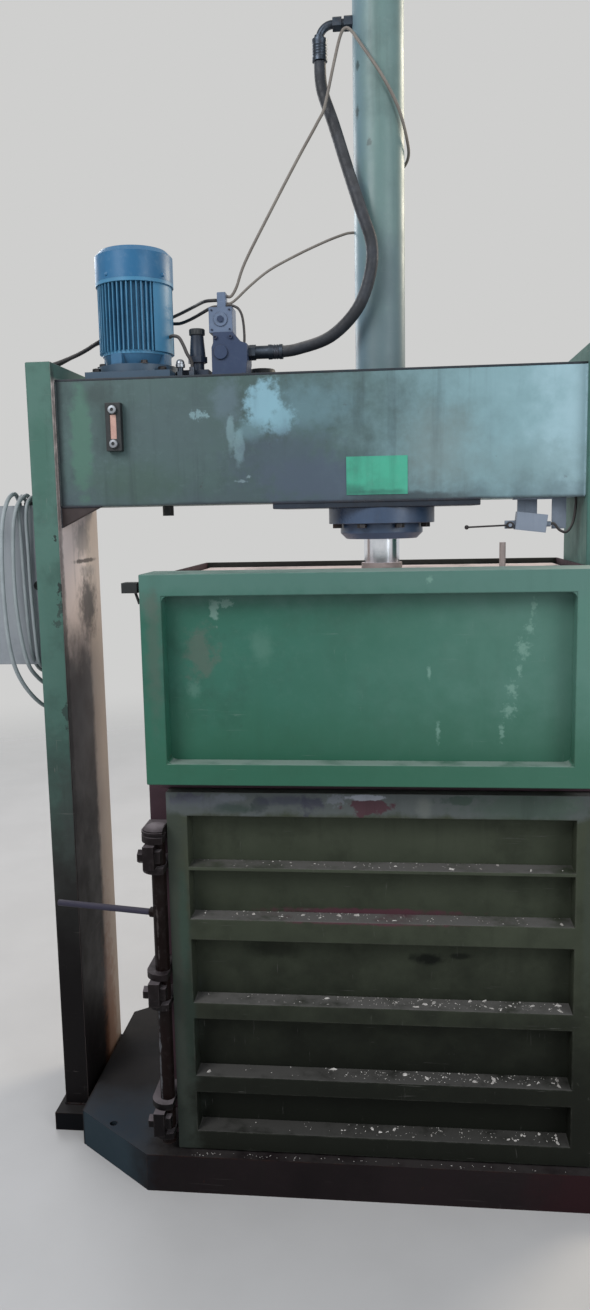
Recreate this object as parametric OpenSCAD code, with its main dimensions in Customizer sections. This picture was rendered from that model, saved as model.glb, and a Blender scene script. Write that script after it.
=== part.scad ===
// Vertical recycling baler: a box chamber with a lower bale door and an upper gate, under a
// portal frame whose crosshead is the oil tank. Millimetres, +Z up, front towards -Y.
// The origin is on the floor, under the ram's axis.

/* [Portal frame] */
// Width of each upright, seen from the front
upright_w = 60; // [50:1:80]
// Depth of each upright
upright_d = 300; // [280:1:320]
// Height of the uprights
frame_h = 1860; // [1850:1:1950]
// Wall of the uprights' box section
upright_wall = 6; // [4:0.5:10]
// Clear width between the uprights
bay_w = 1192; // [1180:1:1260]
// Distance from the ram's axis to the right upright
bay_right = 450; // [440:1:470]
// Height of the blocks under the uprights
foot_h = 45; // [35:1:60]
// Overhang of the foot blocks in front of and behind the uprights
foot_over = 40; // [20:1:50]
// Overhang of the foot blocks beside the uprights
foot_side = 14; // [8:1:18]

/* [Base] */
// Height of the base, to the top of its deck
base_h = 88; // [80:1:92]
// Thickness of the base's plates
base_t = 10; // [8:1:12]
// Distance from the ram's axis to the base's front
base_front = 392; // [385:1:420]
// Distance from the ram's axis to the base's rear
base_rear = 340; // [320:1:380]
// Reach of the base's front beyond the chamber's left side
base_side = 55; // [40:1:70]
// Radius of the anchor holes
anchor_r = 9; // [6:0.5:11]
// Anchor hole distance from front to rear
anchor_pitch_y = 570; // [560:1:580]
// Place of the left anchor holes beside the left upright
anchor_left = 105; // [100:1:120]
// Place of the right anchor holes beside the chamber
anchor_right = 28; // [24:1:32]

/* [Crosshead] */
// Height of the crosshead
beam_h = 284; // [260:1:300]
// Depth of the crosshead
beam_d = 254; // [240:1:280]
// Distance from the uprights' tops down to the lid's underside
beam_drop = 43; // [30:1:60]
// Thickness of the tank's plates
tank_t = 8; // [6:0.5:12]
// Thickness of the tank's lid
lid_t = 5; // [3:0.5:8]
// Half width of the dry bay round the cylinder
dry_half = 140; // [130:1:170]
// Thickness of the plate under the crosshead
ram_plate_t = 14; // [10:1:20]
// Width of the plate under the crosshead
ram_plate_w = 467; // [400:1:520]

/* [Chamber] */
// Clear height between the chamber's top and the plate under the crosshead
feed_gap = 136; // [110:1:150]
// Clear width of the chamber
chamber_w = 915; // [905:1:925]
// Distance from the ram's axis to the plane where the doors close
front_plane = 310; // [300:1:318]
// Distance from the ram's axis to the back wall's inner face
back_plane = 238; // [225:1:245]
// Thickness of the chamber's walls
chamber_wall = 5; // [4:0.5:8]
// Thickness of the front posts
post_t = 8; // [6:0.5:10]
// Width of the front posts
post_w = 20; // [15:1:24]
// Width of the folded jamb that carries the lock, beside the left wall
jamb_w = 36; // [30:1:39]
// Depth of the jamb
jamb_d = 60; // [50:1:80]
// Thickness of the chamber's floor plate
floor_t = 10; // [8:1:12]
// Number of strap grooves in the floor
groove_count = 4; // [3:1:5]
// Width of a strap groove
groove_w = 26; // [18:1:32]
// Depth of the ribs outside the back wall
rib_d = 40; // [30:1:50]

/* [Lower door] */
// Height of the door's lower edge
door_z0 = 92; // [90:1:98]
// Height of the door's upper edge
door_z1 = 922; // [918:1:924]
// Depth of the door's frame
door_d = 58; // [50:1:64]
// Width of the door's stiles
stile_w = 45; // [40:1:55]
// Plate thickness of the doors
door_t = 5; // [4:0.5:6]
// Height of the door's top rail
top_rail_h = 53; // [45:1:60]

/* [Upper gate] */
// How much narrower the gate is than the chamber
gate_trim = 5; // [0:1:15]
// Gap between the lower door and the gate, across the lintel
gate_lift = 34; // [32:1:40]
// How far the gate stands above the chamber's walls
gate_rise = 9; // [2:1:17]
// Depth of the gate
gate_d = 125; // [110:1:130]
// Depth of the recess in the gate's front
gate_recess = 43; // [35:1:50]
// Distance from the right upright's line to the gate's edge
gate_inset = 22; // [18:1:26]

/* [Hinges] */
// Distance of the hinge pins beside the chamber
hinge_out = 20; // [18:1:24]
// Radius of the hinge pins
pin_r = 10; // [8:0.5:11]
// Radius of the hinge knuckles
knuckle_r = 16; // [15:0.5:17]
// Height of a door's own knuckle
knuckle_h = 50; // [40:1:60]
// Height of each bracket knuckle
bracket_h = 28; // [20:1:32]

/* [Lock] */
// Radius of the lock shaft
lock_r = 16; // [12:0.5:16.5]
// Radius of the lock's bearing plates
lock_plate_r = 34; // [30:1:36]
// Thickness of the lock's bearing plates
lock_plate_t = 14; // [10:1:16]
// Length of the pull bar
bar_len = 232; // [180:1:250]
// Radius of the pull bar
bar_r = 7; // [5:0.5:9]

/* [Cylinder and ram] */
// Outer diameter of the cylinder's tube
cyl_od = 115; // [110:1:125]
// Bore of the cylinder's tube
cyl_id = 100; // [90:1:104]
// Length of the cylinder's tube
cyl_len = 1141; // [1130:1:1200]
// Thickness of the cylinder's end cap
cap_t = 40; // [30:1:50]
// Diameter of the mounting flange
flange_d = 250; // [240:1:270]
// Thickness of the mounting flange
flange_t = 37; // [30:1:40]
// Diameter of the gland
gland_d = 195; // [180:1:200]
// Height of the gland
gland_t = 36; // [30:1:40]
// Diameter of the chrome rod
rod_d = 85; // [70:1:88]
// Length of rod between the gland and the platen's collar with the ram up
rod_shown = 57; // [50:1:72]
// Height of the platen
platen_h = 150; // [120:1:180]
// Gap between the platen and the chamber's walls
platen_gap = 10; // [8:1:14]
// Height of the piston
piston_h = 80; // [60:1:100]
// Height of the collar on the platen
collar_h = 19; // [15:1:24]

/* [Power pack] */
// Distance of the motor's axis left of the ram
motor_left = 578; // [560:1:585]
// Radius over the motor's fins
motor_r = 88; // [80:1:92]
// Number of cooling fins round the whole body
fin_count = 48; // [36:1:52]
// Height of the finned body
motor_h = 167; // [150:1:180]
// Height of the fan cover
fan_cover_h = 72; // [66:1:85]
// Distance of the valve block left of the ram
valve_left = 350; // [335:1:370]
// Width of the valve block
valve_w = 84; // [76:1:96]

/* [Cabinet] */
// Width of the electrical cabinet
cabinet_w = 300; // [280:1:320]
// Height of the electrical cabinet
cabinet_h = 380; // [360:1:400]
// Depth of the electrical cabinet
cabinet_d = 170; // [150:1:190]
// Height of the cabinet's underside
cabinet_z0 = 1158; // [1140:1:1170]
// Sheet thickness of the cabinet
cabinet_t = 2; // [1.5:0.5:3]

/* [Hidden] */

// A running gap between a shaft and its bore, on the radius
run_gap = 0.05;
// A small gap between faces that slide past each other
slide_gap = 0.5;
// Gap between a closed door and the posts behind it
door_gap = 1;

// Frame
bay_left = bay_right - bay_w;
beam_z1 = frame_h - beam_drop;
beam_z0 = beam_z1 - beam_h;
lid_z1 = beam_z1 + lid_t;
ram_plate_shift = -11;
ram_plate_z0 = beam_z0 - ram_plate_t;

// Chamber, seen from above
chamber_top = ram_plate_z0 - feed_gap;
inner_right = bay_right - chamber_wall;
inner_left = inner_right - chamber_w;
outer_left = inner_left - chamber_wall;
floor_z1 = base_h + floor_t;
front_y = -front_plane;
lintel_d = 40;
lintel_clear = 4;
side_rib_z = [base_h + 232, (base_h + chamber_top - 151) / 2, chamber_top - 383];
back_rib_first = base_h + 212;
back_rib_pitch = (chamber_top - 123 - back_rib_first) / 3;
back_rib_h = 60;

// Doors
door_x0 = outer_left + 15;
door_x1 = bay_right - 2;
door_y1 = front_y - door_gap;
door_y0 = door_y1 - door_d;
gate_x1 = bay_right - gate_inset;
gate_x0 = gate_x1 - (chamber_w - gate_trim);
gate_z0 = door_z1 + gate_lift;
gate_z1 = chamber_top + gate_rise;
gate_y1 = front_y - 2;
gate_y0 = gate_y1 - gate_d;
hinge_x = bay_right + hinge_out;
hinge_y = front_y - 30;
door_hinge_z = [door_z0 + 60, (door_z0 + door_z1) / 2, door_z1 - 60];
gate_hinge_z = [gate_z0 + 84, gate_z1 - 84];
// Low and high edge of each opening between the lower door's rails and ribs
door_rows = [
    [door_z0 + stile_w, 230], [270, 405], [443, 589], [637, 747],
    [755, door_z1 - top_rail_h]
];

// Lock
lock_x = door_x0 - 19;
lock_y = door_y0 - 8;
lock_z0 = 117;
// Lower face of the two bearing plates of each set
lock_sets = [[139, 209], [442, 511], [751, 818]];
lock_cap_z = lock_sets[2][1] + lock_plate_t + 4;
bar_z = 653;
bar_angle = 169.6;

// Cylinder and ram
flange_z0 = ram_plate_z0 - flange_t;
gland_z0 = flange_z0 - gland_t;
tube_z0 = ram_plate_z0;
tube_z1 = tube_z0 + cyl_len;
port_z = tube_z1 - 70;
piston_z1 = port_z - 30;
rod_z0 = gland_z0 - rod_shown;
rod_z1 = piston_z1 - piston_h;
platen_top = rod_z0 - collar_h;
platen_z0 = platen_top - platen_h;
platen_x0 = inner_left + platen_gap;
platen_x1 = inner_right - platen_gap;
platen_y0 = front_y + post_t + platen_gap;
platen_y1 = back_plane - platen_gap;
platen_plate = 12;
platen_web = 10;
trip_x = 273;
switch_y = -100;

// Power pack
motor_x = -motor_left;
adaptor_h = 18;
adaptor_w = 200;
motor_flange_h = 18;
bell_h = 25;
// Directions of the bell's lugs and of the smooth flank beside the fins
bell_turn = -20;
flank_from = -47;
flank_sweep = 52;
bell_z0 = lid_z1 + adaptor_h;
motor_z0 = bell_z0 + motor_flange_h + bell_h;
motor_z1 = motor_z0 + motor_h;
fan_z0 = motor_z1 + 18;
shaft_r = 12;
pump_z1 = beam_z1 - 40;
valve_x = -valve_left;
valve_z1 = lid_z1 + 108;
hose_z = lid_z1 + 64;
coil_x = valve_x - 20;
coil_h = 58;
plug_h = 36;
relief_x = valve_x - 82;

// Small parts on the crosshead
drain_x = bay_left + 225;
plate_w = 137;
plate_h = 85;
plate_x0 = -76;
plate_rise = 14;
gauge_x = -603;
gauge_z = beam_z1 - 106;
whisker_x = 289;
whisker_y = switch_y - 12;
whisker_z = beam_z0 - 60;

// Cabinet
cabinet_x1 = bay_left - upright_w;
cabinet_x0 = cabinet_x1 - cabinet_w;
cabinet_y0 = -60;
cabinet_y1 = cabinet_y0 + cabinet_d;
cabinet_z1 = cabinet_z0 + cabinet_h;
cabinet_door_d = 15;
cabinet_door_y0 = cabinet_y0 - 1 - cabinet_door_d;
cabinet_hinge_x = cabinet_x0 - 6;
cabinet_hinge_y = cabinet_y0 - 9;
// Places of the controls on the cabinet's door: across and up from its corner
main_switch_at = [92, 292];
start_at = [60, 170];
emergency_at = [124, 170];

// Routes of the hose and the leads, chosen by hand
hose_r = 13.5;
hose_route = [
    [-262, 0, 1886], [-248, 0, 1886], [-234, 0, 1886], [-190, -18, 1888], [-112, -56, 1906],
    [-50, -84, 1958], [-20, -90, 2030], [-16, -90, 2096], [-38, -84, 2166], [-66, -60, 2256],
    [-100, -28, 2370], [-126, -10, 2450], [-131, 0, port_z - 80],
    [-131, 0, port_z - 55], [-131, 0, port_z - 30]
];
motor_lead_r = 5;
motor_lead_route = [
    [-628, 106, 1966], [-644, 106, 1966], [-690, 80, 1940], [-730, 40, 1906],
    [-776, 0, 1878], [-804, -12, 1870], [-815, -14, 1860], [-816, -14, 1844],
    [-817, -16, 1780], [-818, -16, 1680], [-822, -16, 1560], [-822, -16, 1538]
];
valve_lead_r = 4;
valve_lead_route = [
    [-380, 0, 2008], [-392, 0, 2008], [-416, 18, 2010], [-454, 80, 2012], [-500, 128, 2006],
    [-544, 150, 1996], [-600, 154, 1982], [-650, 148, 1966], [-704, 116, 1942],
    [-752, 64, 1904], [-786, 24, 1876], [-806, 14, 1869], [-815, 12, 1860], [-815, 10, 1844],
    [-815, 10, 1780], [-815, 10, 1680], [-816, 10, 1560], [-816, 10, 1538]
];
cylinder_lead_r = 3.5;
cylinder_lead_route = [
    [-359, 0, 2016], [-348, 0, 2016], [-334, -2, 2036], [-312, -4, 2090], [-250, -12, 2195],
    [-184, -30, 2298], [-134, -48, 2370], [-118, -52, 2400], [-96, -50, 2491], [-82, -44, 2546],
    [-71, -41, 2562], [-58, -46, 2554], [-39, -62, 2522], [2, -68, 2461], [31, -60, 2413],
    [49, -50, 2375], [63, -22, 2332], [67, 8, 2308], [57, 38, 2294], [35, 60, 2284],
    [10, 67, 2276], [0, 68, 2262], [0, 68, 2240]
];
cabinet_cable_r = 5;
cable_a_route = [
    [-880, -30, 1538], [-880, -30, 1550], [-878, -62, 1568], [-880, -106, 1548],
    [-889, -124, 1483], [-893, -129, 1342], [-885, -127, 1199], [-868, -108, 1118],
    [-840, -60, 1054], [-818, -8, 1038], [-812, 28, 1072], [-814, 38, 1128], [-814, 38, 1158]
];
cable_b_route = [
    [-850, -30, 1538], [-850, -30, 1550], [-850, -60, 1564], [-859, -98, 1538],
    [-869, -108, 1471], [-871, -112, 1317], [-856, -106, 1178], [-840, -70, 1120],
    [-826, -16, 1092], [-828, 20, 1102], [-836, 36, 1136], [-836, 36, 1158]
];
switch_lead_r = 3;
switch_lead_route = [
    [380, -100, 1474], [388, -100, 1474], [400, -100, 1460], [416, -98, 1456],
    [430, -92, 1476], [436, -90, 1512], [436, -90, 1533]
];

$fn = 48;

function unit(v) = v / norm(v);

function blend(p, i, t) =
    let (last = len(p) - 1, a = p[max(i - 1, 0)], b = p[i], c = p[i + 1], d = p[min(i + 2, last)])
    0.5 * (2 * b + (c - a) * t + (2 * a - 5 * b + 4 * c - d) * t * t
        + (3 * b - a - 3 * c + d) * t * t * t);

// A smooth line through the points of a route, with a number of steps between them
function smooth(p, steps) = [
    for (i = [0 : len(p) - 2], k = [0 : steps - 1]) blend(p, i, k / steps),
    p[len(p) - 1]
];

function heading(p, i) = unit(p[min(i + 1, len(p) - 1)] - p[max(i - 1, 0)]);

function square_to(n, t) = unit(n - t * (n * t));

// The side direction of each ring, carried along the line without a twist
function sides_of(p, n, i = 0) =
    let (here = square_to(n, heading(p, i)))
    i == len(p) - 1 ? [here] : concat([here], sides_of(p, here, i + 1));

// A tube swept along a route, closed at both ends
module cord(route, radius, sides = 8, steps = 1, start = [0.2, 1, 0.1]) {
    line = smooth(route, steps);
    normals = sides_of(line, start);
    rings = [
        for (i = [0 : len(line) - 1], k = [0 : sides - 1])
        let (t = heading(line, i), n = normals[i], b = cross(t, n), a = 360 * k / sides)
        line[i] + radius * (cos(a) * n + sin(a) * b)
    ];
    walls = [
        for (i = [0 : len(line) - 2], k = [0 : sides - 1])
        let (j = (k + 1) % sides, low = i * sides, high = low + sides)
        each [[low + k, high + k, high + j], [low + k, high + j, low + j]]
    ];
    first = [for (k = [0 : sides - 1]) k];
    last = [for (k = [sides - 1 : -1 : 0]) (len(line) - 1) * sides + k];
    polyhedron(rings, concat(walls, [first, last]));
}

// A block given by its low and high corners
module block(low, high) {
    translate(low)
        cube(high - low);
}

module disc(x, y, z, r, h) {
    translate([x, y, z])
        cylinder(r = r, h = h);
}

module disc_y(x, y, z, r, h) {
    translate([x, y, z])
        rotate([90, 0, 0])
            cylinder(r = r, h = h);
}

module disc_x(x, y, z, r, h) {
    translate([x, y, z])
        rotate([0, 90, 0])
            cylinder(r = r, h = h);
}

module hexagon(x, y, z, across, h) {
    translate([x, y, z])
        cylinder(r = across / sqrt(3), h = h, $fn = 6);
}

// The base's outline, with the left wing and a notch round the right foot
module base_outline(inset = 0) {
    wing_x = bay_left + foot_side + inset;
    wing_y = base_front - 153;
    corner_x = outer_left - base_side;
    right = bay_right + base_side;
    notch = upright_d / 2 + foot_over + inset;
    polygon([
        [corner_x + inset / 2, -base_front + inset], [right - inset, -base_front + inset],
        [right - inset, -notch], [bay_right - inset, -notch], [bay_right - inset, notch],
        [right - inset, notch], [right - inset, base_rear - inset],
        [corner_x - 70 + inset / 2, base_rear - inset], [wing_x, wing_y - inset / 2],
        [wing_x, -wing_y + inset / 2]
    ]);
}

module base_frame() {
    cell = 236;
    web_first = bay_left + foot_side + cell;
    foot_y = upright_d / 2 + foot_over;
    color([0.24, 0.17, 0.14]) {
        difference() {
            union() {
                translate([0, 0, base_h - base_t])
                    linear_extrude(base_t)
                        base_outline();
                linear_extrude(base_h)
                    difference() {
                        base_outline();
                        base_outline(base_t);
                    }
                for (x = [web_first : cell : bay_right - 40])
                    block([x, -base_front + base_t, 0], [x + base_t, base_rear - base_t, base_h - base_t]);
                block([-40, -base_front + base_t, 0], [40, base_rear - base_t, base_h - base_t]);
            }
            for (x = [bay_left + anchor_left, bay_right + anchor_right], s = [-1, 1])
                disc(x, s * anchor_pitch_y / 2, base_h - base_t - 1, anchor_r, base_t + 2);
        }
        for (x = [bay_left - upright_w - foot_side, bay_right])
            block([x, -foot_y, 0], [x + upright_w + 2 * foot_side - (x > 0 ? foot_side : 0), foot_y, foot_h]);
    }
}

// A box section with a cap, standing on its foot
module upright(x) {
    block_w = upright_w - 2 * upright_wall;
    block_d = upright_d - 2 * upright_wall;
    translate([x, -upright_d / 2, foot_h])
        difference() {
            cube([upright_w, upright_d, frame_h - foot_h]);
            translate([upright_wall, upright_wall, -1])
                cube([block_w, block_d, frame_h - foot_h - upright_wall + 1]);
        }
}

module left_upright() {
    color([0.33, 0.52, 0.45])
        upright(bay_left - upright_w);
}

module right_upright() {
    color([0.33, 0.52, 0.45])
        upright(bay_right);
}

module crosshead_tank() {
    y0 = -beam_d / 2 + tank_t;
    y1 = beam_d / 2 - tank_t;
    z0 = beam_z0 + tank_t;
    color([0.24, 0.40, 0.38])
        difference() {
            block([bay_left, -beam_d / 2, beam_z0], [bay_right, beam_d / 2, beam_z1]);
            block([bay_left + tank_t, y0, z0], [-dry_half - tank_t, y1, beam_z1 + 1]);
            block([-dry_half, y0, z0], [dry_half, y1, beam_z1 + 1]);
            block([dry_half + tank_t, y0, z0], [bay_right - tank_t, y1, beam_z1 + 1]);
            disc(0, 0, beam_z0 - 1, cyl_od / 2 + slide_gap, tank_t + 2);
            disc(drain_x, 0, beam_z0 - 1, 9, tank_t + 2);
        }
}

module tank_lid() {
    color([0.20, 0.27, 0.29])
        difference() {
            block([bay_left, -beam_d / 2, beam_z1], [bay_right, beam_d / 2, lid_z1]);
            disc(0, 0, beam_z1 - 1, cyl_od / 2 + slide_gap, lid_t + 2);
            disc(motor_x, 0, beam_z1 - 1, 50, lid_t + 2);
            disc(valve_x + 60, 85, beam_z1 - 1, 18, lid_t + 2);
        }
}

module ram_plate() {
    x0 = ram_plate_shift - ram_plate_w / 2;
    color([0.12, 0.17, 0.17])
        difference() {
            block([x0, -beam_d / 2, ram_plate_z0], [x0 + ram_plate_w, beam_d / 2, beam_z0]);
            disc(0, 0, ram_plate_z0 - 1, cyl_od / 2 + slide_gap, ram_plate_t + 2);
        }
}

module corner_gussets() {
    gusset_t = 12;
    color([0.20, 0.16, 0.15])
        translate([bay_left, gusset_t - beam_d / 2, beam_z0])
            rotate([90, 0, 0])
                linear_extrude(gusset_t)
                    polygon([[0, 0], [0, -48], [98, 0]]);
}

module chamber_floor() {
    y0 = front_y + post_t;
    pitch = chamber_w / groove_count;
    color([0.36, 0.33, 0.30])
        difference() {
            block([inner_left, y0, base_h], [inner_right, back_plane, floor_z1]);
            for (i = [0 : groove_count - 1])
                block([inner_left + pitch * (i + 0.5) - groove_w / 2, y0 - 1, base_h + 3],
                      [inner_left + pitch * (i + 0.5) + groove_w / 2, back_plane + 1, floor_z1 + 1]);
        }
}

module chamber_side_walls() {
    y0 = front_y + post_t;
    y1 = back_plane + chamber_wall;
    color([0.30, 0.14, 0.15]) {
        block([outer_left, y0, base_h], [inner_left, y1, chamber_top]);
        for (z = side_rib_z)
            block([outer_left - rib_d, -200, z], [outer_left, y1 - 20, z + 12]);
        block([inner_right, y0, base_h], [bay_right, y1, chamber_top]);
    }
}

module chamber_back_wall() {
    y0 = back_plane;
    y1 = back_plane + chamber_wall;
    color([0.20, 0.24, 0.24])
        union() {
            block([inner_left, y0, base_h], [inner_right, y1, chamber_top]);
            for (i = [0 : 3]) {
                z = back_rib_first + i * back_rib_pitch;
                difference() {
                    block([inner_left, y1, z], [inner_right, y1 + rib_d, z + back_rib_h]);
                    block([inner_left - 1, y1, z + chamber_wall],
                          [inner_right + 1, y1 + rib_d - chamber_wall, z + back_rib_h - chamber_wall]);
                }
            }
        }
}

module front_posts() {
    y1 = front_y + post_t;
    color([0.28, 0.12, 0.14]) {
        union() {
            block([outer_left - jamb_w, front_y, base_h], [outer_left + post_w, y1, chamber_top]);
            block([outer_left - jamb_w, front_y, base_h],
                  [outer_left - jamb_w + post_t, front_y + jamb_d, chamber_top]);
            block([outer_left - jamb_w, front_y + jamb_d - post_t, base_h],
                  [outer_left, front_y + jamb_d, chamber_top]);
        }
        block([bay_right - post_w, front_y, base_h], [bay_right, y1, chamber_top]);
        block([outer_left, front_y - lintel_d, door_z1 + lintel_clear],
              [bay_right, front_y, gate_z0 - lintel_clear]);
    }
}

module cylinder_tube() {
    color([0.45, 0.60, 0.52])
        difference() {
            disc(0, 0, tube_z0, cyl_od / 2, cyl_len);
            disc(0, 0, tube_z0 - 1, cyl_id / 2, cyl_len + 2);
            translate([-cyl_od, 0, port_z])
                rotate([0, 90, 0])
                    cylinder(r = 8, h = cyl_od);
        }
}

module cylinder_cap() {
    color([0.40, 0.56, 0.48])
        translate([0, 0, tube_z1])
            rotate_extrude()
                polygon([[0, 0], [cyl_od / 2 + 4, 0], [cyl_od / 2 + 4, cap_t - 8],
                         [cyl_od / 2 - 4, cap_t], [0, cap_t]]);
}

module cylinder_flange() {
    color([0.10, 0.12, 0.14])
        difference() {
            disc(0, 0, flange_z0, flange_d / 2, flange_t);
            disc(0, 0, flange_z0 - 1, rod_d / 2 + 4, flange_t + 2);
        }
}

module gland_ring() {
    color([0.08, 0.10, 0.12])
        translate([0, 0, gland_z0])
            rotate_extrude()
                polygon([[rod_d / 2 + run_gap, 0], [gland_d / 2 - 14, 0], [gland_d / 2, 14],
                         [gland_d / 2, gland_t], [rod_d / 2 + run_gap, gland_t]]);
}

module flange_bolts() {
    color([0.10, 0.11, 0.12])
        for (a = [22.5 : 45 : 360])
            rotate([0, 0, a])
                hexagon((gland_d + flange_d) / 4, 0, flange_z0 - 10, 20, 10);
}

// Whether a fin this far round from the flank's near edge would fall on the flank
function on_flank(a) = a > 360 - flank_sweep - 8;

module motor_body() {
    root_r = motor_r - 12;
    color([0.16, 0.38, 0.55])
        translate([motor_x, 0, motor_z0])
            difference() {
                union() {
                    cylinder(r = root_r, h = motor_h);
                    for (i = [0 : fin_count - 1])
                        if (!on_flank(360 * i / fin_count))
                            rotate([0, 0, flank_from - 4 - 360 * i / fin_count])
                                translate([root_r - 2, -1.3, 6])
                                    cube([motor_r - root_r + 2, 2.6, motor_h - 12]);
                    rotate([0, 0, flank_from])
                        rotate_extrude(angle = flank_sweep)
                            translate([root_r - 2, 6])
                                square([motor_r - root_r + 1, motor_h - 12]);
                    cylinder(r = root_r + 5, h = 8);
                    translate([0, 0, motor_h - 8])
                        cylinder(r = motor_r + 3, h = 8);
                }
                translate([0, 0, -1])
                    cylinder(r = shaft_r + run_gap, h = motor_h + 2);
            }
}

module motor_bell() {
    color([0.20, 0.36, 0.46])
        difference() {
            union() {
                block([motor_x - adaptor_w / 2, -adaptor_w / 2, lid_z1],
                      [motor_x + adaptor_w / 2, adaptor_w / 2, bell_z0]);
                disc(motor_x, 0, bell_z0, 94, motor_flange_h);
                translate([motor_x, 0, bell_z0 + motor_flange_h])
                    cylinder(r1 = 70, r2 = 80, h = bell_h);
                for (a = [0 : 90 : 270])
                    translate([motor_x, 0, bell_z0 + motor_flange_h])
                        rotate([0, 0, bell_turn + a])
                            translate([56, -15, 0])
                                cube([30, 30, bell_h]);
            }
            disc(motor_x, 0, lid_z1 - 1, 46, motor_z0 - lid_z1 - 9);
            disc(motor_x, 0, lid_z1 - 1, shaft_r + 6, motor_z0 - lid_z1 + 2);
            for (a = [45 : 90 : 315])
                translate([motor_x, 0, 0])
                    rotate([0, 0, a])
                        disc(110, 0, lid_z1 - 1, 5.5, adaptor_h + 2);
        }
}

module fan_cover() {
    r = motor_r + 3;
    wall = 2;
    color([0.24, 0.50, 0.68])
        translate([motor_x, 0, motor_z1])
            difference() {
                rotate_extrude()
                    polygon([[0, fan_cover_h - wall], [r - 14, fan_cover_h - wall],
                             [r - wall, fan_cover_h - 14], [r - wall, 0], [r, 0],
                             [r, fan_cover_h - 13], [r - 13, fan_cover_h], [0, fan_cover_h]]);
                for (ring = [26, 44, 62], a = [0 : 30 : 330])
                    rotate([0, 0, a])
                        translate([ring, 0, fan_cover_h - 4])
                            cylinder(r = 5.5, h = 8, $fn = 16);
            }
}

module terminal_box() {
    y0 = motor_r - 6;
    half = 50;
    box_d = 40;
    lid_d = 8;
    lip = 3;
    z0 = motor_z0 + 40;
    z1 = motor_z1 - 20;
    color([0.20, 0.42, 0.58]) {
        difference() {
            block([motor_x - half, y0, z0], [motor_x + half, y0 + box_d, z1]);
            disc(motor_x, 0, motor_z0, motor_r + 0.3, motor_h);
        }
        block([motor_x - half - lip, y0 + box_d, z0 - lip],
              [motor_x + half + lip, y0 + box_d + lid_d, z1 + lip]);
    }
}

module gear_pump() {
    body_h = 110;
    z0 = pump_z1 - body_h;
    pipe_x = motor_x - 30;
    color([0.55, 0.57, 0.58])
        difference() {
            union() {
                block([motor_x - 45, -40, z0], [motor_x + 45, 40, pump_z1]);
                disc(motor_x, 0, pump_z1, 42, beam_z1 - pump_z1 + lid_t);
                disc(pipe_x, 0, z0 - 60, 12, 60);
                disc(pipe_x, 0, beam_z0 + tank_t + 6, 30, z0 - 60 - beam_z0 - tank_t - 6);
            }
            disc(motor_x, 0, z0 + 20, shaft_r + run_gap, body_h + 100);
            disc(motor_x, 0, pump_z1 + 20, 34, 60);
        }
}

module valve_block() {
    x0 = valve_x - valve_w / 2;
    x1 = valve_x + valve_w / 2;
    color([0.23, 0.32, 0.40])
        difference() {
            union() {
                translate([0, 35, 0])
                    rotate([90, 0, 0])
                        linear_extrude(70)
                            polygon([[x0, lid_z1], [x1 - 6, lid_z1], [x1, hose_z - 24],
                                     [x1, hose_z + 16], [x1 - 16, valve_z1 - 22],
                                     [x1 - 34, valve_z1], [x0 + 4, valve_z1], [x0 + 4, hose_z + 20],
                                     [x0, hose_z + 10]]);
                disc_y(x0 + 22, -35, hose_z - 2, 16, 5);
            }
            disc_x(x1 - 30, 0, hose_z, 9, 40);
        }
}

module valve_coil() {
    color([0.26, 0.35, 0.43]) {
        block([coil_x - 28, -26, valve_z1], [coil_x + 28, 26, valve_z1 + coil_h]);
        disc_y(coil_x, -26, valve_z1 + 30, 16, 3);
    }
}

module coil_plug() {
    z0 = valve_z1 + coil_h;
    color([0.30, 0.36, 0.42])
        block([coil_x - 10, -13, z0], [coil_x + 11, 13, z0 + plug_h]);
}

module relief_valve() {
    color([0.12, 0.16, 0.20])
        union() {
            block([relief_x - 32, -26, lid_z1], [relief_x + 30, 26, lid_z1 + 26]);
            translate([relief_x, 0, lid_z1 + 26])
                cylinder(r = 15, h = 18);
            hexagon(relief_x, 0, lid_z1 + 44, 40, 14);
            translate([relief_x, 0, lid_z1 + 58])
                cylinder(r1 = 19, r2 = 15, h = 50);
            disc(relief_x, 0, lid_z1 + 108, 17.5, 14);
        }
}

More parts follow.
